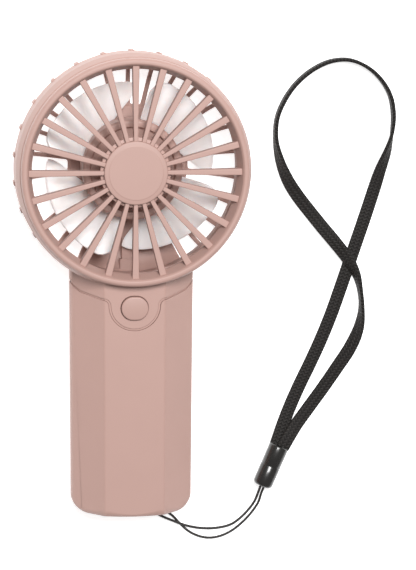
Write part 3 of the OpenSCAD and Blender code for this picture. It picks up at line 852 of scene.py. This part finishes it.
def build_bead():
    """The moulded bead: a round-ended sleeve with a step at its mouth and a parting line."""
    profile = [(0, 0.9), (2.6, 0.9), (2.9, 0.5), (3.1, 0.12), (3.4, 0), (3.72, 0.18), (BEAD_R, 0.6)]
    profile += [(BEAD_R, 8.4), (BEAD_R - 0.1, 8.55), (BEAD_R - 0.1, 8.75), (BEAD_R, 8.9)]
    profile += arc((BEAD_R - 1.6, BEAD_L - 1.6), 1.6, 0, 90, 6)
    profile += [(1.3, BEAD_L), (1.1, BEAD_L - 0.3), (1.0, BEAD_L - 1.2), (0, BEAD_L - 1.2)]
    bm = turned(profile, steps=64, closed=False)
    moved(bm, turn=RIGHT_ANGLE, axis="X")
    moved(bm, BEAD_TOP, BEAD_TURN)
    material = gloss_plastic("Black bead", (0.012, 0.011, 0.010))
    return finished(bm, "bead", material, FAN, "black_bead", "strap_bead", sharp=40)


# ---------------------------------------------------------------- head


def build_front_grille(sizes, material):
    """Rim ring, ribs, and the disc that they carry."""
    rim = turned(
        rounded([
            (BARREL_R - 2.4, BARREL_TOP, 0.1), (BARREL_R - 2.4, BARREL_TOP + 0.5, 0.1),
            (BARREL_R - 1.4, BARREL_TOP + 0.5, 0.4), (BARREL_R - 1.65, HEAD_D - 0.6, 1.1),
            (BARREL_R - 2.5, HEAD_D, 1.0), (BARREL_R - 3.6, HEAD_D, 0.7),
            (BARREL_R - 4.2, HEAD_D - 0.7, 0.6), (OPENING_R, HEAD_D - 5.4, 0.3),
            (OPENING_R, HEAD_D - 6.4, 0.3), (BARREL_IN - 0.1, HEAD_D - 6.4, 0.2),
            (BARREL_IN - 0.1, BARREL_TOP, 0.1),
        ], 5), steps=192,
    )
    disc_r = sizes.disc_radius / MM
    reach = OPENING_R + 1.5
    near, far = sizes.rib_disc_width / MM / 2, sizes.rib_rim_width / MM / 2
    rib = prism([(disc_r - 1, -near), (reach, -far), (reach, far), (disc_r - 1, near)],
                RIB_BACK, RIB_FRONT)
    soften(rib, 0.3, 3)
    around(rib, sizes.front_ribs)
    disc = turned(
        rounded([
            (0, RIB_BACK - 0.4, 0), (disc_r + 1, RIB_BACK - 0.4, 0.3),
            (disc_r + 1.4, RIB_FRONT - 1.7, 0.3), (disc_r + 0.05, RIB_FRONT - 1.5, 0.1),
            (disc_r, HEAD_D - 0.9, 0.5), (disc_r * 0.86, HEAD_D - 0.72, 0.3),
            (disc_r * 0.84, HEAD_D - 0.6, 0.2), (0, HEAD_D - 0.5, 0),
        ], 4), steps=96, closed=False,
    )
    return finished(joined(rim, rib, disc), "front_cage", material, FAN, "pink_casing",
                    "front_grille", at_head=True, flat_faces=True)


def bowl_profile(rows):
    """Outer line of the bowl in radius and height, from the disc's edge to the barrel."""
    flat = [(BACK_DISC_R - 1.4, 0), (BACK_DISC_R, 0), (BACK_DISC_R + 1.4, 0), (28.5, 0)]
    edge = arc((BARREL_R - SHOULDER_R, SHOULDER_R), SHOULDER_R, -90, 0, rows)
    return flat + edge


def build_rear_grille(sizes, material):
    """Bowl behind the impeller: windows between ribs, a solid part in front of the neck."""
    count, columns, rows = sizes.rear_ribs, 4, 9
    half_width = BACK_RIB_HALF
    pitch = TURN / count
    bm = lathed(bowl_profile(rows), count * columns, closed=False)
    # ribs keep one width all the way, so the columns beside them follow straight lines
    for vert in bm.verts:
        radius = vert.co.xy.length
        angle = math.atan2(vert.co.y, vert.co.x)
        column = round(angle / (pitch / columns))
        rib_angle = round(column / columns) * pitch
        side = column - round(column / columns) * columns
        if side in (1, -1):
            turn = rib_angle + side * math.asin(half_width / radius)
            vert.co.xy = radius * math.cos(turn), radius * math.sin(turn)
    first_row, last_row = BACK_DISC_R, BARREL_R - 1.6
    solid_half = 2 * pitch
    windows = []
    for face in bm.faces:
        centre = face.calc_center_median()
        angle = math.atan2(centre.y, centre.x)
        off_rib = abs(angle / pitch - round(angle / pitch)) * pitch * centre.xy.length
        by_neck = math.pi - abs(angle) < solid_half
        inside = first_row < centre.xy.length < last_row
        if inside and off_rib > half_width * 1.05 and not by_neck:
            windows.append(face)
    bmesh.ops.delete(bm, geom=windows, context="FACES")
    bmesh.ops.recalc_face_normals(bm, faces=bm.faces)
    bm.faces.ensure_lookup_table()
    if bm.faces[0].normal.z > 0:
        bmesh.ops.reverse_faces(bm, faces=bm.faces)
    bmesh.ops.solidify(bm, geom=bm.faces[:], thickness=BOWL_T)
    bmesh.ops.rotate(bm, verts=bm.verts, cent=(0, 0, 0), matrix=Matrix.Rotation(RIGHT_ANGLE, 3, "Z"))
    shell = bare_object(bm, "shell")
    modifier = shell.modifiers.new("Smooth", "SUBSURF")
    modifier.levels = modifier.render_levels = 2
    bowl = as_modified(shell)
    disc = turned(
        rounded([(0, 0, 0), (BACK_DISC_R - 1, 0, 0.2), (BACK_DISC_R - 0.6, 0.3, 0.2),
                 (BACK_DISC_R - 0.6, 1.9, 0.3), (BACK_DISC_R - 1.2, 2.2, 0.2), (6.4, 2.2, 0.3),
                 (5.8, 4.4, 0.3), (4.3, 4.4, 0.2), (4.3, 1.2, 0), (0, 1.2, 0)], 3),
        steps=96, closed=False,
    )
    seat = turned(
        rounded([(BARREL_IN - 1.4, 9.2, 0.3), (BARREL_IN - 0.1, 9.2, 0.2),
                 (BARREL_IN - 0.1, 14, 0.2), (BARREL_IN - 1.2, 14, 0.4)], 3), steps=128,
    )
    hook = prism([(BARREL_R - 0.7, -half_width), (BARREL_R + 0.48, -half_width),
                  (BARREL_R + 0.48, half_width), (BARREL_R - 0.7, half_width)], 9.6, 15.5)
    soften(hook, 0.35, 3)
    hooks = count - 5
    moved(hook, turn=-math.pi / 2 + 3 * pitch)
    bmesh.ops.spin(
        hook, geom=everything(hook), cent=(0, 0, 0), axis=(0, 0, 1), dvec=(0, 0, 0),
        angle=pitch * (hooks - 1), steps=hooks - 1, use_merge=False, use_duplicate=True,
    )
    cover = moved(prism(LEAD_CHANNEL, 18, 37.5), turn=RIGHT_ANGLE, axis="X")
    higher = [(x * 1.3, z + 1 if z > 2 else z) for x, z in LEAD_CHANNEL]
    step = moved(prism(higher, 36.5, BARREL_IN - 0.1), turn=RIGHT_ANGLE, axis="X")
    return finished(joined(bowl, disc, seat, hook, cover, step), "rear_cage", material, FAN,
                    "pink_casing", "rear_grille", at_head=True)


def seam_outline(gap):
    """The upper body's outline across the front: shoulders and the tongue below them."""
    shoulder = SHOULDER_Y - gap
    fillet = TONGUE_FILLET - gap
    reach = TONGUE_R + gap
    right = [(30, 40), (30, SEAM_Y + 5), (HALF_TOP + 0.6, SEAM_Y + 0.9 - gap),
             (22.6, SEAM_Y - 1.6 - gap), (20.3, SEAM_Y - 3.5 - gap), (15.4, SEAM_Y - 4.9 - gap)]
    bend = arc((reach + fillet, shoulder - fillet), fillet, 90, 180, 8)
    left = [(-x, y) for x, y in reversed(right + bend)]
    return right + bend + arc((0, TONGUE_Y), reach, 0, -180, 40)[1:-1] + left


def upper_room(gap):
    """All the room above the seam: with the tongue at the front, and without it at the back."""
    front = prism(seam_outline(gap), MID_Z, 40)
    shoulder = SHOULDER_Y - gap - STEP_APART
    right = [
        (x, y + STEP_APART) for x, y in seam_outline(gap)[2:] if x > 0 and y > shoulder
    ]
    right = [(31, 41), (31, SEAM_Y + 5)] + right
    back = prism(right + [(-x, y) for x, y in reversed(right)], -5, MID_Z + 1)
    return combine(front, back, "UNION")


def half_width_at(y, inset):
    """Half of the handle's width at a height, less the inset."""
    share = min(1.0, -y / TAPER_L)
    return HALF_TOP + (HALF_FOOT - HALF_TOP) * share - inset


def handle_form(inset, top, rounding=True):
    """The handle's whole form, shrunk by inset: an upright outline cut by four sloping planes."""
    foot_start = FOOT_Y + FOOT_L
    half = half_width_at(foot_start, inset)
    deep = FOOT_L - inset
    outline = [(half_width_at(top, inset), top), (half_width_at(0, inset), 0)]
    ridge_x = FLAT_TOP + (FLAT_FOOT - FLAT_TOP) * RIDGE_END / TAPER_L
    steps = 14
    right = [
        (half - FOOT_CORNER + FOOT_CORNER * math.cos(RIGHT_ANGLE * k / steps),
         foot_start - (deep - FOOT_BOW) * math.sin(RIGHT_ANGLE * k / steps))
        for k in range(steps + 1)
    ]
    reach, end_y = right[-1]
    right += [(x, end_y - FOOT_BOW * (1 - (x / reach) ** 2))
              for x in (14.4, 12.9, ridge_x, 9.6, 7.5, 5, 2.5)]
    outline += right + [(0, end_y - FOOT_BOW)] + [(-x, y) for x, y in reversed(right)]
    outline += [(-half_width_at(0, inset), 0), (-half_width_at(top, inset), top)]
    bm = prism(outline, inset, HANDLE_T - inset)
    for side in (-1, 1):
        for face in (-1, 1):
            ridge = Vector((side * FLAT_TOP, 0, MID_Z + face * MID_Z))
            ridge_foot = Vector((side * FLAT_FOOT, -TAPER_L, MID_Z + face * MID_Z))
            nose = Vector((side * HALF_TOP, 0, MID_Z + face * SIDE_HALF))
            normal = (ridge_foot - ridge).cross(nose - ridge).normalized()
            if normal.x * side < 0:
                normal.negate()
            made = bmesh.ops.bisect_plane(
                bm, geom=everything(bm), dist=0.02, plane_co=ridge - normal * inset,
                plane_no=normal, clear_outer=True, clear_inner=False,
            )
            cut = [e for e in made["geom_cut"] if isinstance(e, bmesh.types.BMEdge)]
            bmesh.ops.contextual_create(bm, geom=cut)
    bmesh.ops.recalc_face_normals(bm, faces=bm.faces)
    in_order(bm)
    if not rounding:
        return bm
    widths = {}
    for edge in bm.edges:
        one, two = (vert.co for vert in edge.verts)
        flat = not edge.is_manifold or edge.calc_face_angle(0) < math.radians(14)
        upright = [abs(f.normal.z) < 0.01 for f in edge.link_faces]
        if flat or all(upright) or min(one.y, two.y) > top - 0.1:
            continue
        if not any(upright):
            widths[edge.index] = RIDGE_ROUND
        elif max(one.y, two.y) >= foot_start + 0.1:
            widths[edge.index] = SIDE_ROUND
        else:
            widths[edge.index] = foot_rounding(abs((one.x + two.x) / 2), ridge_x, half)
    return weighted_bevel(bm, widths, 4)


def foot_rounding(across, ridge_x, half):
    """Rounding of the foot's edge: widest at the ridge, narrower at the middle and the side."""
    more = FOOT_ROUND - SIDE_ROUND
    if across < ridge_x:
        return SIDE_ROUND + more * (across / ridge_x) ** 2
    return FOOT_ROUND - more * min(1.0, (across - ridge_x) / (half - ridge_x) * 1.5)


def upper_end(bm):
    """The part of a handle form above y = -30, closed off below."""
    made = bmesh.ops.bisect_plane(
        bm, geom=everything(bm), dist=0.001, plane_co=(0, -30, 0), plane_no=(0, 1, 0),
        clear_inner=True,
    )
    cut = [e for e in made["geom_cut"] if isinstance(e, bmesh.types.BMEdge)]
    bmesh.ops.contextual_create(bm, geom=cut)
    bmesh.ops.recalc_face_normals(bm, faces=bm.faces)
    return bm


def head_space():
    """The room that the barrel and the bowl take out of the neck."""
    profile = [(0, -1), (BARREL_R - SHOULDER_R, -1)]
    profile += arc((BARREL_R - SHOULDER_R, SHOULDER_R), SHOULDER_R + 0.1, -90, 0, 24)
    profile += [(BARREL_R - 1.5, SHOULDER_R), (BARREL_R - 1.5, 60), (0, 60)]
    return moved(turned(profile, steps=160, closed=False), (0, HEAD_Y, 0))


def soften_seam(bm, width):
    """Rounds the edges along the seam and merges what is nearly in one place at the ridges."""
    soften(bm, width, 3, 40, on_seam)
    beside = [v for v in bm.verts if abs(abs(v.co.x) - FLAT_TOP) < 0.8 and v.co.y > -20]
    bmesh.ops.remove_doubles(bm, verts=beside, dist=0.05)
    return bm


def on_seam(edge):
    """Whether an edge lies on the outside of the casing, and not on its end at the barrel."""
    middle = (edge.verts[0].co + edge.verts[1].co) / 2
    depth = min(middle.z, HANDLE_T - middle.z)
    slope = (half_width_at(middle.y, 0) - abs(middle.x)) / 1.42
    outside = min(depth, slope) < 0.9
    return outside and middle.y < SEAM_Y + 3


def build_head_housing(sizes, material):
    """Barrel, neck and the tongue with the button's hole."""
    barrel = turned(
        rounded([
            (BARREL_IN, SHOULDER_R, 0.3), (BARREL_R - 0.1, SHOULDER_R, 0.2),
            (BARREL_R, SHOULDER_R + 0.6, 0.4), (BARREL_R, HEAD_D - 8, 5),
            (BARREL_R - 1.25, BARREL_TOP, 0.7), (BARREL_R - 2.3, BARREL_TOP, 0.1),
            (BARREL_R - 2.3, BARREL_TOP - 0.6, 0.1), (BARREL_IN, BARREL_TOP - 0.6, 0.1),
        ], 5), steps=192,
    )
    moved(barrel, (0, HEAD_Y, 0))
    neck = combine(upper_end(handle_form(0, NECK_TOP)), upper_room(0), "INTERSECT")
    lip = upper_end(handle_form(SEAM_DEPTH, NECK_TOP - 0.7, rounding=False))
    lip = combine(lip, upper_room(sizes.seam_gap / MM - SEAM_PLAY), "INTERSECT")
    neck = combine(neck, lip, "UNION")
    neck = combine(neck, handle_form(WALL, NECK_TOP - 2, rounding=False), "DIFFERENCE")
    neck = combine(neck, head_space(), "DIFFERENCE")
    hole = moved(prism(stadium(HOLE_R, CAP_HALF, 20), MID_Z, 40), (-0.07, BUTTON_Y + 0.05, 0))
    neck = combine(neck, hole, "DIFFERENCE")
    soften_seam(neck, sizes.seam_round / MM)
    return finished(joined(neck, barrel), "upper_body", material, FAN, "pink_casing",
                    "head_housing", flat_faces=True)


def build_sleeve(sizes, material):
    """The eight-sided sleeve with its charging opening and strap eyelet."""
    inside = handle_form(WALL, NECK_TOP + 5, rounding=False)
    sleeve = combine(handle_form(0, NECK_TOP), inside, "DIFFERENCE")
    sleeve = combine(sleeve, upper_room(sizes.seam_gap / MM), "DIFFERENCE")
    port = moved(prism(stadium(PORT_R, PORT_HALF), -8, 3), turn=RIGHT_ANGLE, axis="X")
    sleeve = combine(sleeve, moved(port, (0, FOOT_Y, MID_Z)), "DIFFERENCE")
    for x in EYE_X:
        eye = moved(prism(arc((0, 0), EYE_R, 0, 345, 23), -8, 3), turn=RIGHT_ANGLE, axis="X")
        sleeve = combine(sleeve, moved(eye, (x, FOOT_Y, EYE_Z)), "DIFFERENCE")
    for y in (-78, -22):
        bmesh.ops.bisect_plane(
            sleeve, geom=everything(sleeve), dist=0.001, plane_co=(0, y, 0), plane_no=(0, 1, 0)
        )
    soften_seam(sleeve, sizes.seam_round / MM)
    return finished(sleeve, "handle_cover", material, FAN, "pink_casing", "handle_sleeve",
                    flat_faces=True)


def build_button(material):
    """Oval button with a rounded rim, on the skirt that keeps it in its hole."""
    cap = prism(stadium(CAP_R, CAP_HALF, 24), HANDLE_T - WALL - 0.8, BUTTON_TOP)
    soften(cap, 0.55, 4, 60, lambda e: min(v.co.z for v in e.verts) > HANDLE_T)
    skirt = prism(stadium(SKIRT_R, CAP_HALF, 24), HANDLE_T - WALL - 1.6, HANDLE_T - WALL - 0.6)
    soften(skirt, 0.2, 2, 60)
    stem = turned(rounded([(0, 23, 0), (1.8, 23, 0.2), (1.8, 24.6, 0.1), (0, 24.6, 0)], 2),
                  steps=32, closed=False)
    bm = moved(joined(cap, skirt, stem), (0, BUTTON_Y, 0))
    return finished(bm, "button_cap", material, BUTTON, "pink_button", "power_button")


# ---------------------------------------------------------------- impeller


def blade_place(u, v):
    """A point of a blade's middle surface; u runs from hub to tip, v from its low swept edge
    to its high rounded edge."""
    root = HUB_R - 0.6
    round_end = 0.29 * (max(0.0, v - 0.85) / 0.15) ** 2.5
    round_start = 0.05 * (max(0.0, 0.08 - v) / 0.08) ** 2
    radius = root + (TIP_R - root) * u * (0.795 + 0.205 * v - round_end - round_start)
    start, end = 18.5 - 24 * (1 - (1 - u) ** 2), 79 - 2.5 * u
    angle = math.radians(start + (end - start) * v)
    low, high = 6.2 - 0.6 * u, 14.2 + 5.3 * u
    return radius * math.cos(angle), radius * math.sin(angle), low + (high - low) * v


def build_impeller(sizes, pearl, pink):
    """Hub with its raised front ring, and the twisted blades round it."""
    hub = turned(
        rounded([
            (SHAFT_R, CUP_TOP, 0), (CUP_R, CUP_TOP, 0.3), (CUP_R, HUB_BACK, 0.1),
            (HUB_R - 0.4, HUB_BACK, 0.3), (HUB_R, HUB_TOP - 0.5, 0.9), (HUB_R - 0.9, HUB_TOP, 0.7),
            (CUP_R + 0.4, HUB_TOP, 0.4), (CUP_R, HUB_TOP - 1.6, 0.4), (7.5, HUB_TOP - 1.6, 0.3),
            (7.0, HUB_TOP - 1.2, 0.3), (3.2, HUB_TOP - 1.2, 0.2), (2.6, HUB_TOP - 0.4, 0.2),
            (SHAFT_R, HUB_TOP - 0.4, 0),
        ], 4), steps=128,
    )
    blade = bmesh.new()
    bmesh.ops.create_grid(blade, x_segments=12, y_segments=28, size=1)
    for vert in blade.verts:
        vert.co = blade_place((vert.co.x + 1) / 2, (vert.co.y + 1) / 2)
    bmesh.ops.recalc_face_normals(blade, faces=blade.faces)
    bmesh.ops.solidify(blade, geom=blade.faces[:], thickness=1.1)
    lowest = min(v.co.z for v in blade.verts)
    moved(blade, (0, 0, 5.1 - lowest))
    soften(blade, 0.25, 2, 50)
    around(blade, sizes.blades)
    finished(hub, "impeller_hub", pink, ROTOR, "pink_casing", "impeller", at_head=True)
    finished(blade, "impeller_blades", pearl, ROTOR, "pearl_impeller", "impeller", at_head=True)


# ---------------------------------------------------------------- operators


class FanOperator:
    """Shared by the operators: each builds one group of pieces."""

    bl_options = {"REGISTER", "UNDO"}

    def execute(self, context):
        self.build(context.scene.fan_sizes, context.scene.fan_colours)
        return {"FINISHED"}


class FAN_OT_stage(bpy.types.Operator):
    """Makes the camera, the lights and the pale table"""

    bl_idname = "fan.stage"
    bl_label = "Camera and stage"

    def execute(self, context):
        settings = context.scene.fan_stage
        place, aim = Vector(settings.camera_place), Vector(settings.camera_aim)
        camera = bpy.data.objects.new("camera", bpy.data.cameras.new("camera"))
        camera.data.lens = settings.lens
        camera.data.clip_start = 0.05
        camera.data.clip_end = 20
        back = (place - aim).normalized()
        right = Vector((0, 1, 0)).cross(back).normalized()
        axes = Matrix((right, back.cross(right), back)).transposed()
        camera.matrix_world = (
            Matrix.Translation(place)
            @ axes.to_4x4()
            @ Matrix.Rotation(settings.camera_roll, 4, "Z")
        )
        context.scene.collection.objects.link(camera)
        context.scene.camera = camera
        context.scene.view_settings.view_transform = "Standard"

        for name, spot, size, share in (
            ("front", (0.1, 0.6, 1.4), 0.6, 1.0),
            ("left", (-1.2, 0.3, 0.05), 0.4, 0.05),
        ):
            light = bpy.data.lights.new(name, "AREA")
            light.size = size
            light.energy = settings.key_power * share
            lamp = bpy.data.objects.new(name, light)
            lamp.location = spot
            lamp.rotation_euler = (-Vector(spot)).to_track_quat("-Z", "Y").to_euler()
            context.scene.collection.objects.link(lamp)

        world = bpy.data.worlds.new("studio")
        world.use_nodes = True
        sky = world.node_tree.nodes["Background"]
        sky.inputs["Color"].default_value = (1, 1, 1, 1)
        sky.inputs["Strength"].default_value = settings.sky
        context.scene.world = world

        bm = bmesh.new()
        bmesh.ops.create_grid(bm, x_segments=1, y_segments=1, size=4)
        floor = bare_object(bm, "table")
        finish = Finish("Pale table")
        cloud = finish.noise(60, detail=2.0)
        floor.data.materials.append(finish.surface(
            Base_Color=finish.mix(cloud, (0.86, 0.86, 0.86), (0.88, 0.88, 0.88)),
            Roughness=0.9,
            Emission_Color=(1, 1, 1, 1),
            Emission_Strength=settings.floor_glow,
        ))
        return {"FINISHED"}


class FAN_OT_strap(FanOperator, bpy.types.Operator):
    """Builds the bead, the thin cord and the wrist webbing"""

    bl_idname = "fan.strap"
    bl_label = "Wrist strap"

    def build(self, sizes, colours):
        bead = build_bead()
        build_cord(sizes, colours)
        build_webbing(sizes, colours)


class FAN_OT_casings(FanOperator, bpy.types.Operator):
    """Builds the grilles, the upper body, the sleeve and the button"""

    bl_idname = "fan.casings"
    bl_label = "Casings"

    def build(self, sizes, colours):
        pink = moulded_plastic("Dusty pink moulding", colours.casing)
        build_front_grille(sizes, pink)
        build_rear_grille(sizes, pink)
        build_head_housing(sizes, pink)
        build_sleeve(sizes, pink)
        build_button(moulded_plastic("Pink button", shade(colours.casing, 0.98), roughness=0.44))


class FAN_OT_impeller(FanOperator, bpy.types.Operator):
    """Builds the impeller"""

    bl_idname = "fan.impeller"
    bl_label = "Impeller"

    def build(self, sizes, colours):
        hub = moulded_plastic("Pink hub", shade(colours.casing, 1.1), roughness=0.42)
        build_impeller(sizes, pearl_plastic("Pearl moulding", colours.impeller), hub)


class FAN_OT_motor(FanOperator, bpy.types.Operator):
    """Finishes the motor's pieces"""

    bl_idname = "fan.motor"
    bl_label = "Motor"

    def build(self, sizes, colours):
        steel = metal("Plated steel", (0.62, 0.63, 0.65), 0.22)
        for node in ("rotor_cup", "motor_shaft", "shaft_clip", "motor_screws"):
            finish_node(node, steel)
        turned_steel = metal("Bearing steel", (0.55, 0.56, 0.58), 0.12, 0.06, (1, 1, 1))
        for node in ("front_bearing", "rear_bearing"):
            finish_node(node, turned_steel)
        finish_node("bearing_holder", metal("Turned brass", (0.72, 0.50, 0.20), 0.2, 0.08))
        finish_node("rotor_magnet", moulded_plastic("Ferrite", (0.04, 0.04, 0.045), 0.3, 0.03, 0.6))
        finish_node("stator_core", laminated_steel("Laminated steel"))
        finish_node("stator_windings", wound_wire("Copper winding"))
        finish_node("motor_board", circuit_board("Motor circuit board"))


class FAN_OT_electronics(FanOperator, bpy.types.Operator):
    """Finishes the cell, the boards, the socket, the leads and the tray that holds them"""

    bl_idname = "fan.electronics"
    bl_label = "Battery and boards"

    def build(self, sizes, colours):
        steel = metal("Screw steel", (0.6, 0.61, 0.63), 0.25)
        black = moulded_plastic("Black package", (0.02, 0.02, 0.022), 0.2, 0.01, 0.45)
        board = circuit_board("Green circuit board")
        finishes = {
            "chassis": moulded_plastic("White moulding", (0.76, 0.76, 0.73), 0.2, 0.015, 0.4),
            "chassis_screws": steel,
            "board_screws": steel,
            "battery_cell": gloss_plastic("Shrink wrap", (0.03, 0.13, 0.32), 0.3),
            "battery_tabs": metal("Nickel strip", (0.66, 0.62, 0.54), 0.3),
            "battery_pads": foam("Black foam", (0.03, 0.03, 0.03)),
            "main_board": board,
            "charge_board": board,
            "control_chip": black,
            "tact_switch": black,
            "usb_tongue": black,
            "power_inductor": moulded_plastic("Ferrite core", (0.05, 0.05, 0.055), 0.3, 0.03, 0.6),
            "board_capacitors": moulded_plastic("Ceramic", (0.45, 0.31, 0.18), 0.2, 0.01, 0.35),
            "switch_plunger": moulded_plastic("Plunger", (0.7, 0.7, 0.66), 0.2, 0.01, 0.35),
            "usb_shell": metal("Socket shell", (0.7, 0.7, 0.72), 0.18),
            "motor_leads": gloss_plastic("Red insulation", (0.45, 0.02, 0.015), 0.35),
            "battery_leads": gloss_plastic("Bright red insulation", (0.55, 0.03, 0.02), 0.35),
            "charge_leads": gloss_plastic("Black insulation", (0.02, 0.02, 0.02), 0.35),
        }
        for node, material in finishes.items():
            finish_node(node, material)


class FAN_PT_panel(bpy.types.Panel):
    """Lists the fan's sizes, colours and operators"""

    bl_idname = "FAN_PT_panel"
    bl_label = "Hand-held fan"
    bl_space_type = "VIEW_3D"
    bl_region_type = "UI"
    bl_category = "Fan"

    def draw(self, context):
        layout = self.layout
        for group in (context.scene.fan_stage, context.scene.fan_sizes, context.scene.fan_colours):
            box = layout.box()
            for name in group.__annotations__:
                box.prop(group, name)
        for operator in OPERATORS:
            layout.operator(operator.bl_idname)


OPERATORS = (
    FAN_OT_stage, FAN_OT_strap, FAN_OT_casings, FAN_OT_impeller, FAN_OT_motor, FAN_OT_electronics,
)
GROUPS = {"fan_sizes": FanSizes, "fan_colours": FanColours, "fan_stage": StageSettings}


def register():
    for cls in (*GROUPS.values(), *OPERATORS, FAN_PT_panel):
        bpy.utils.register_class(cls)
    for name, group in GROUPS.items():
        setattr(bpy.types.Scene, name, bpy.props.PointerProperty(type=group))


def unregister():
    for name in GROUPS:
        delattr(bpy.types.Scene, name)
    for cls in reversed((*GROUPS.values(), *OPERATORS, FAN_PT_panel)):
        bpy.utils.unregister_class(cls)


def main():
    register()
    for operator in OPERATORS:
        getattr(bpy.ops.fan, operator.bl_idname.split(".")[1])()


if __name__ == "__main__":
    main()
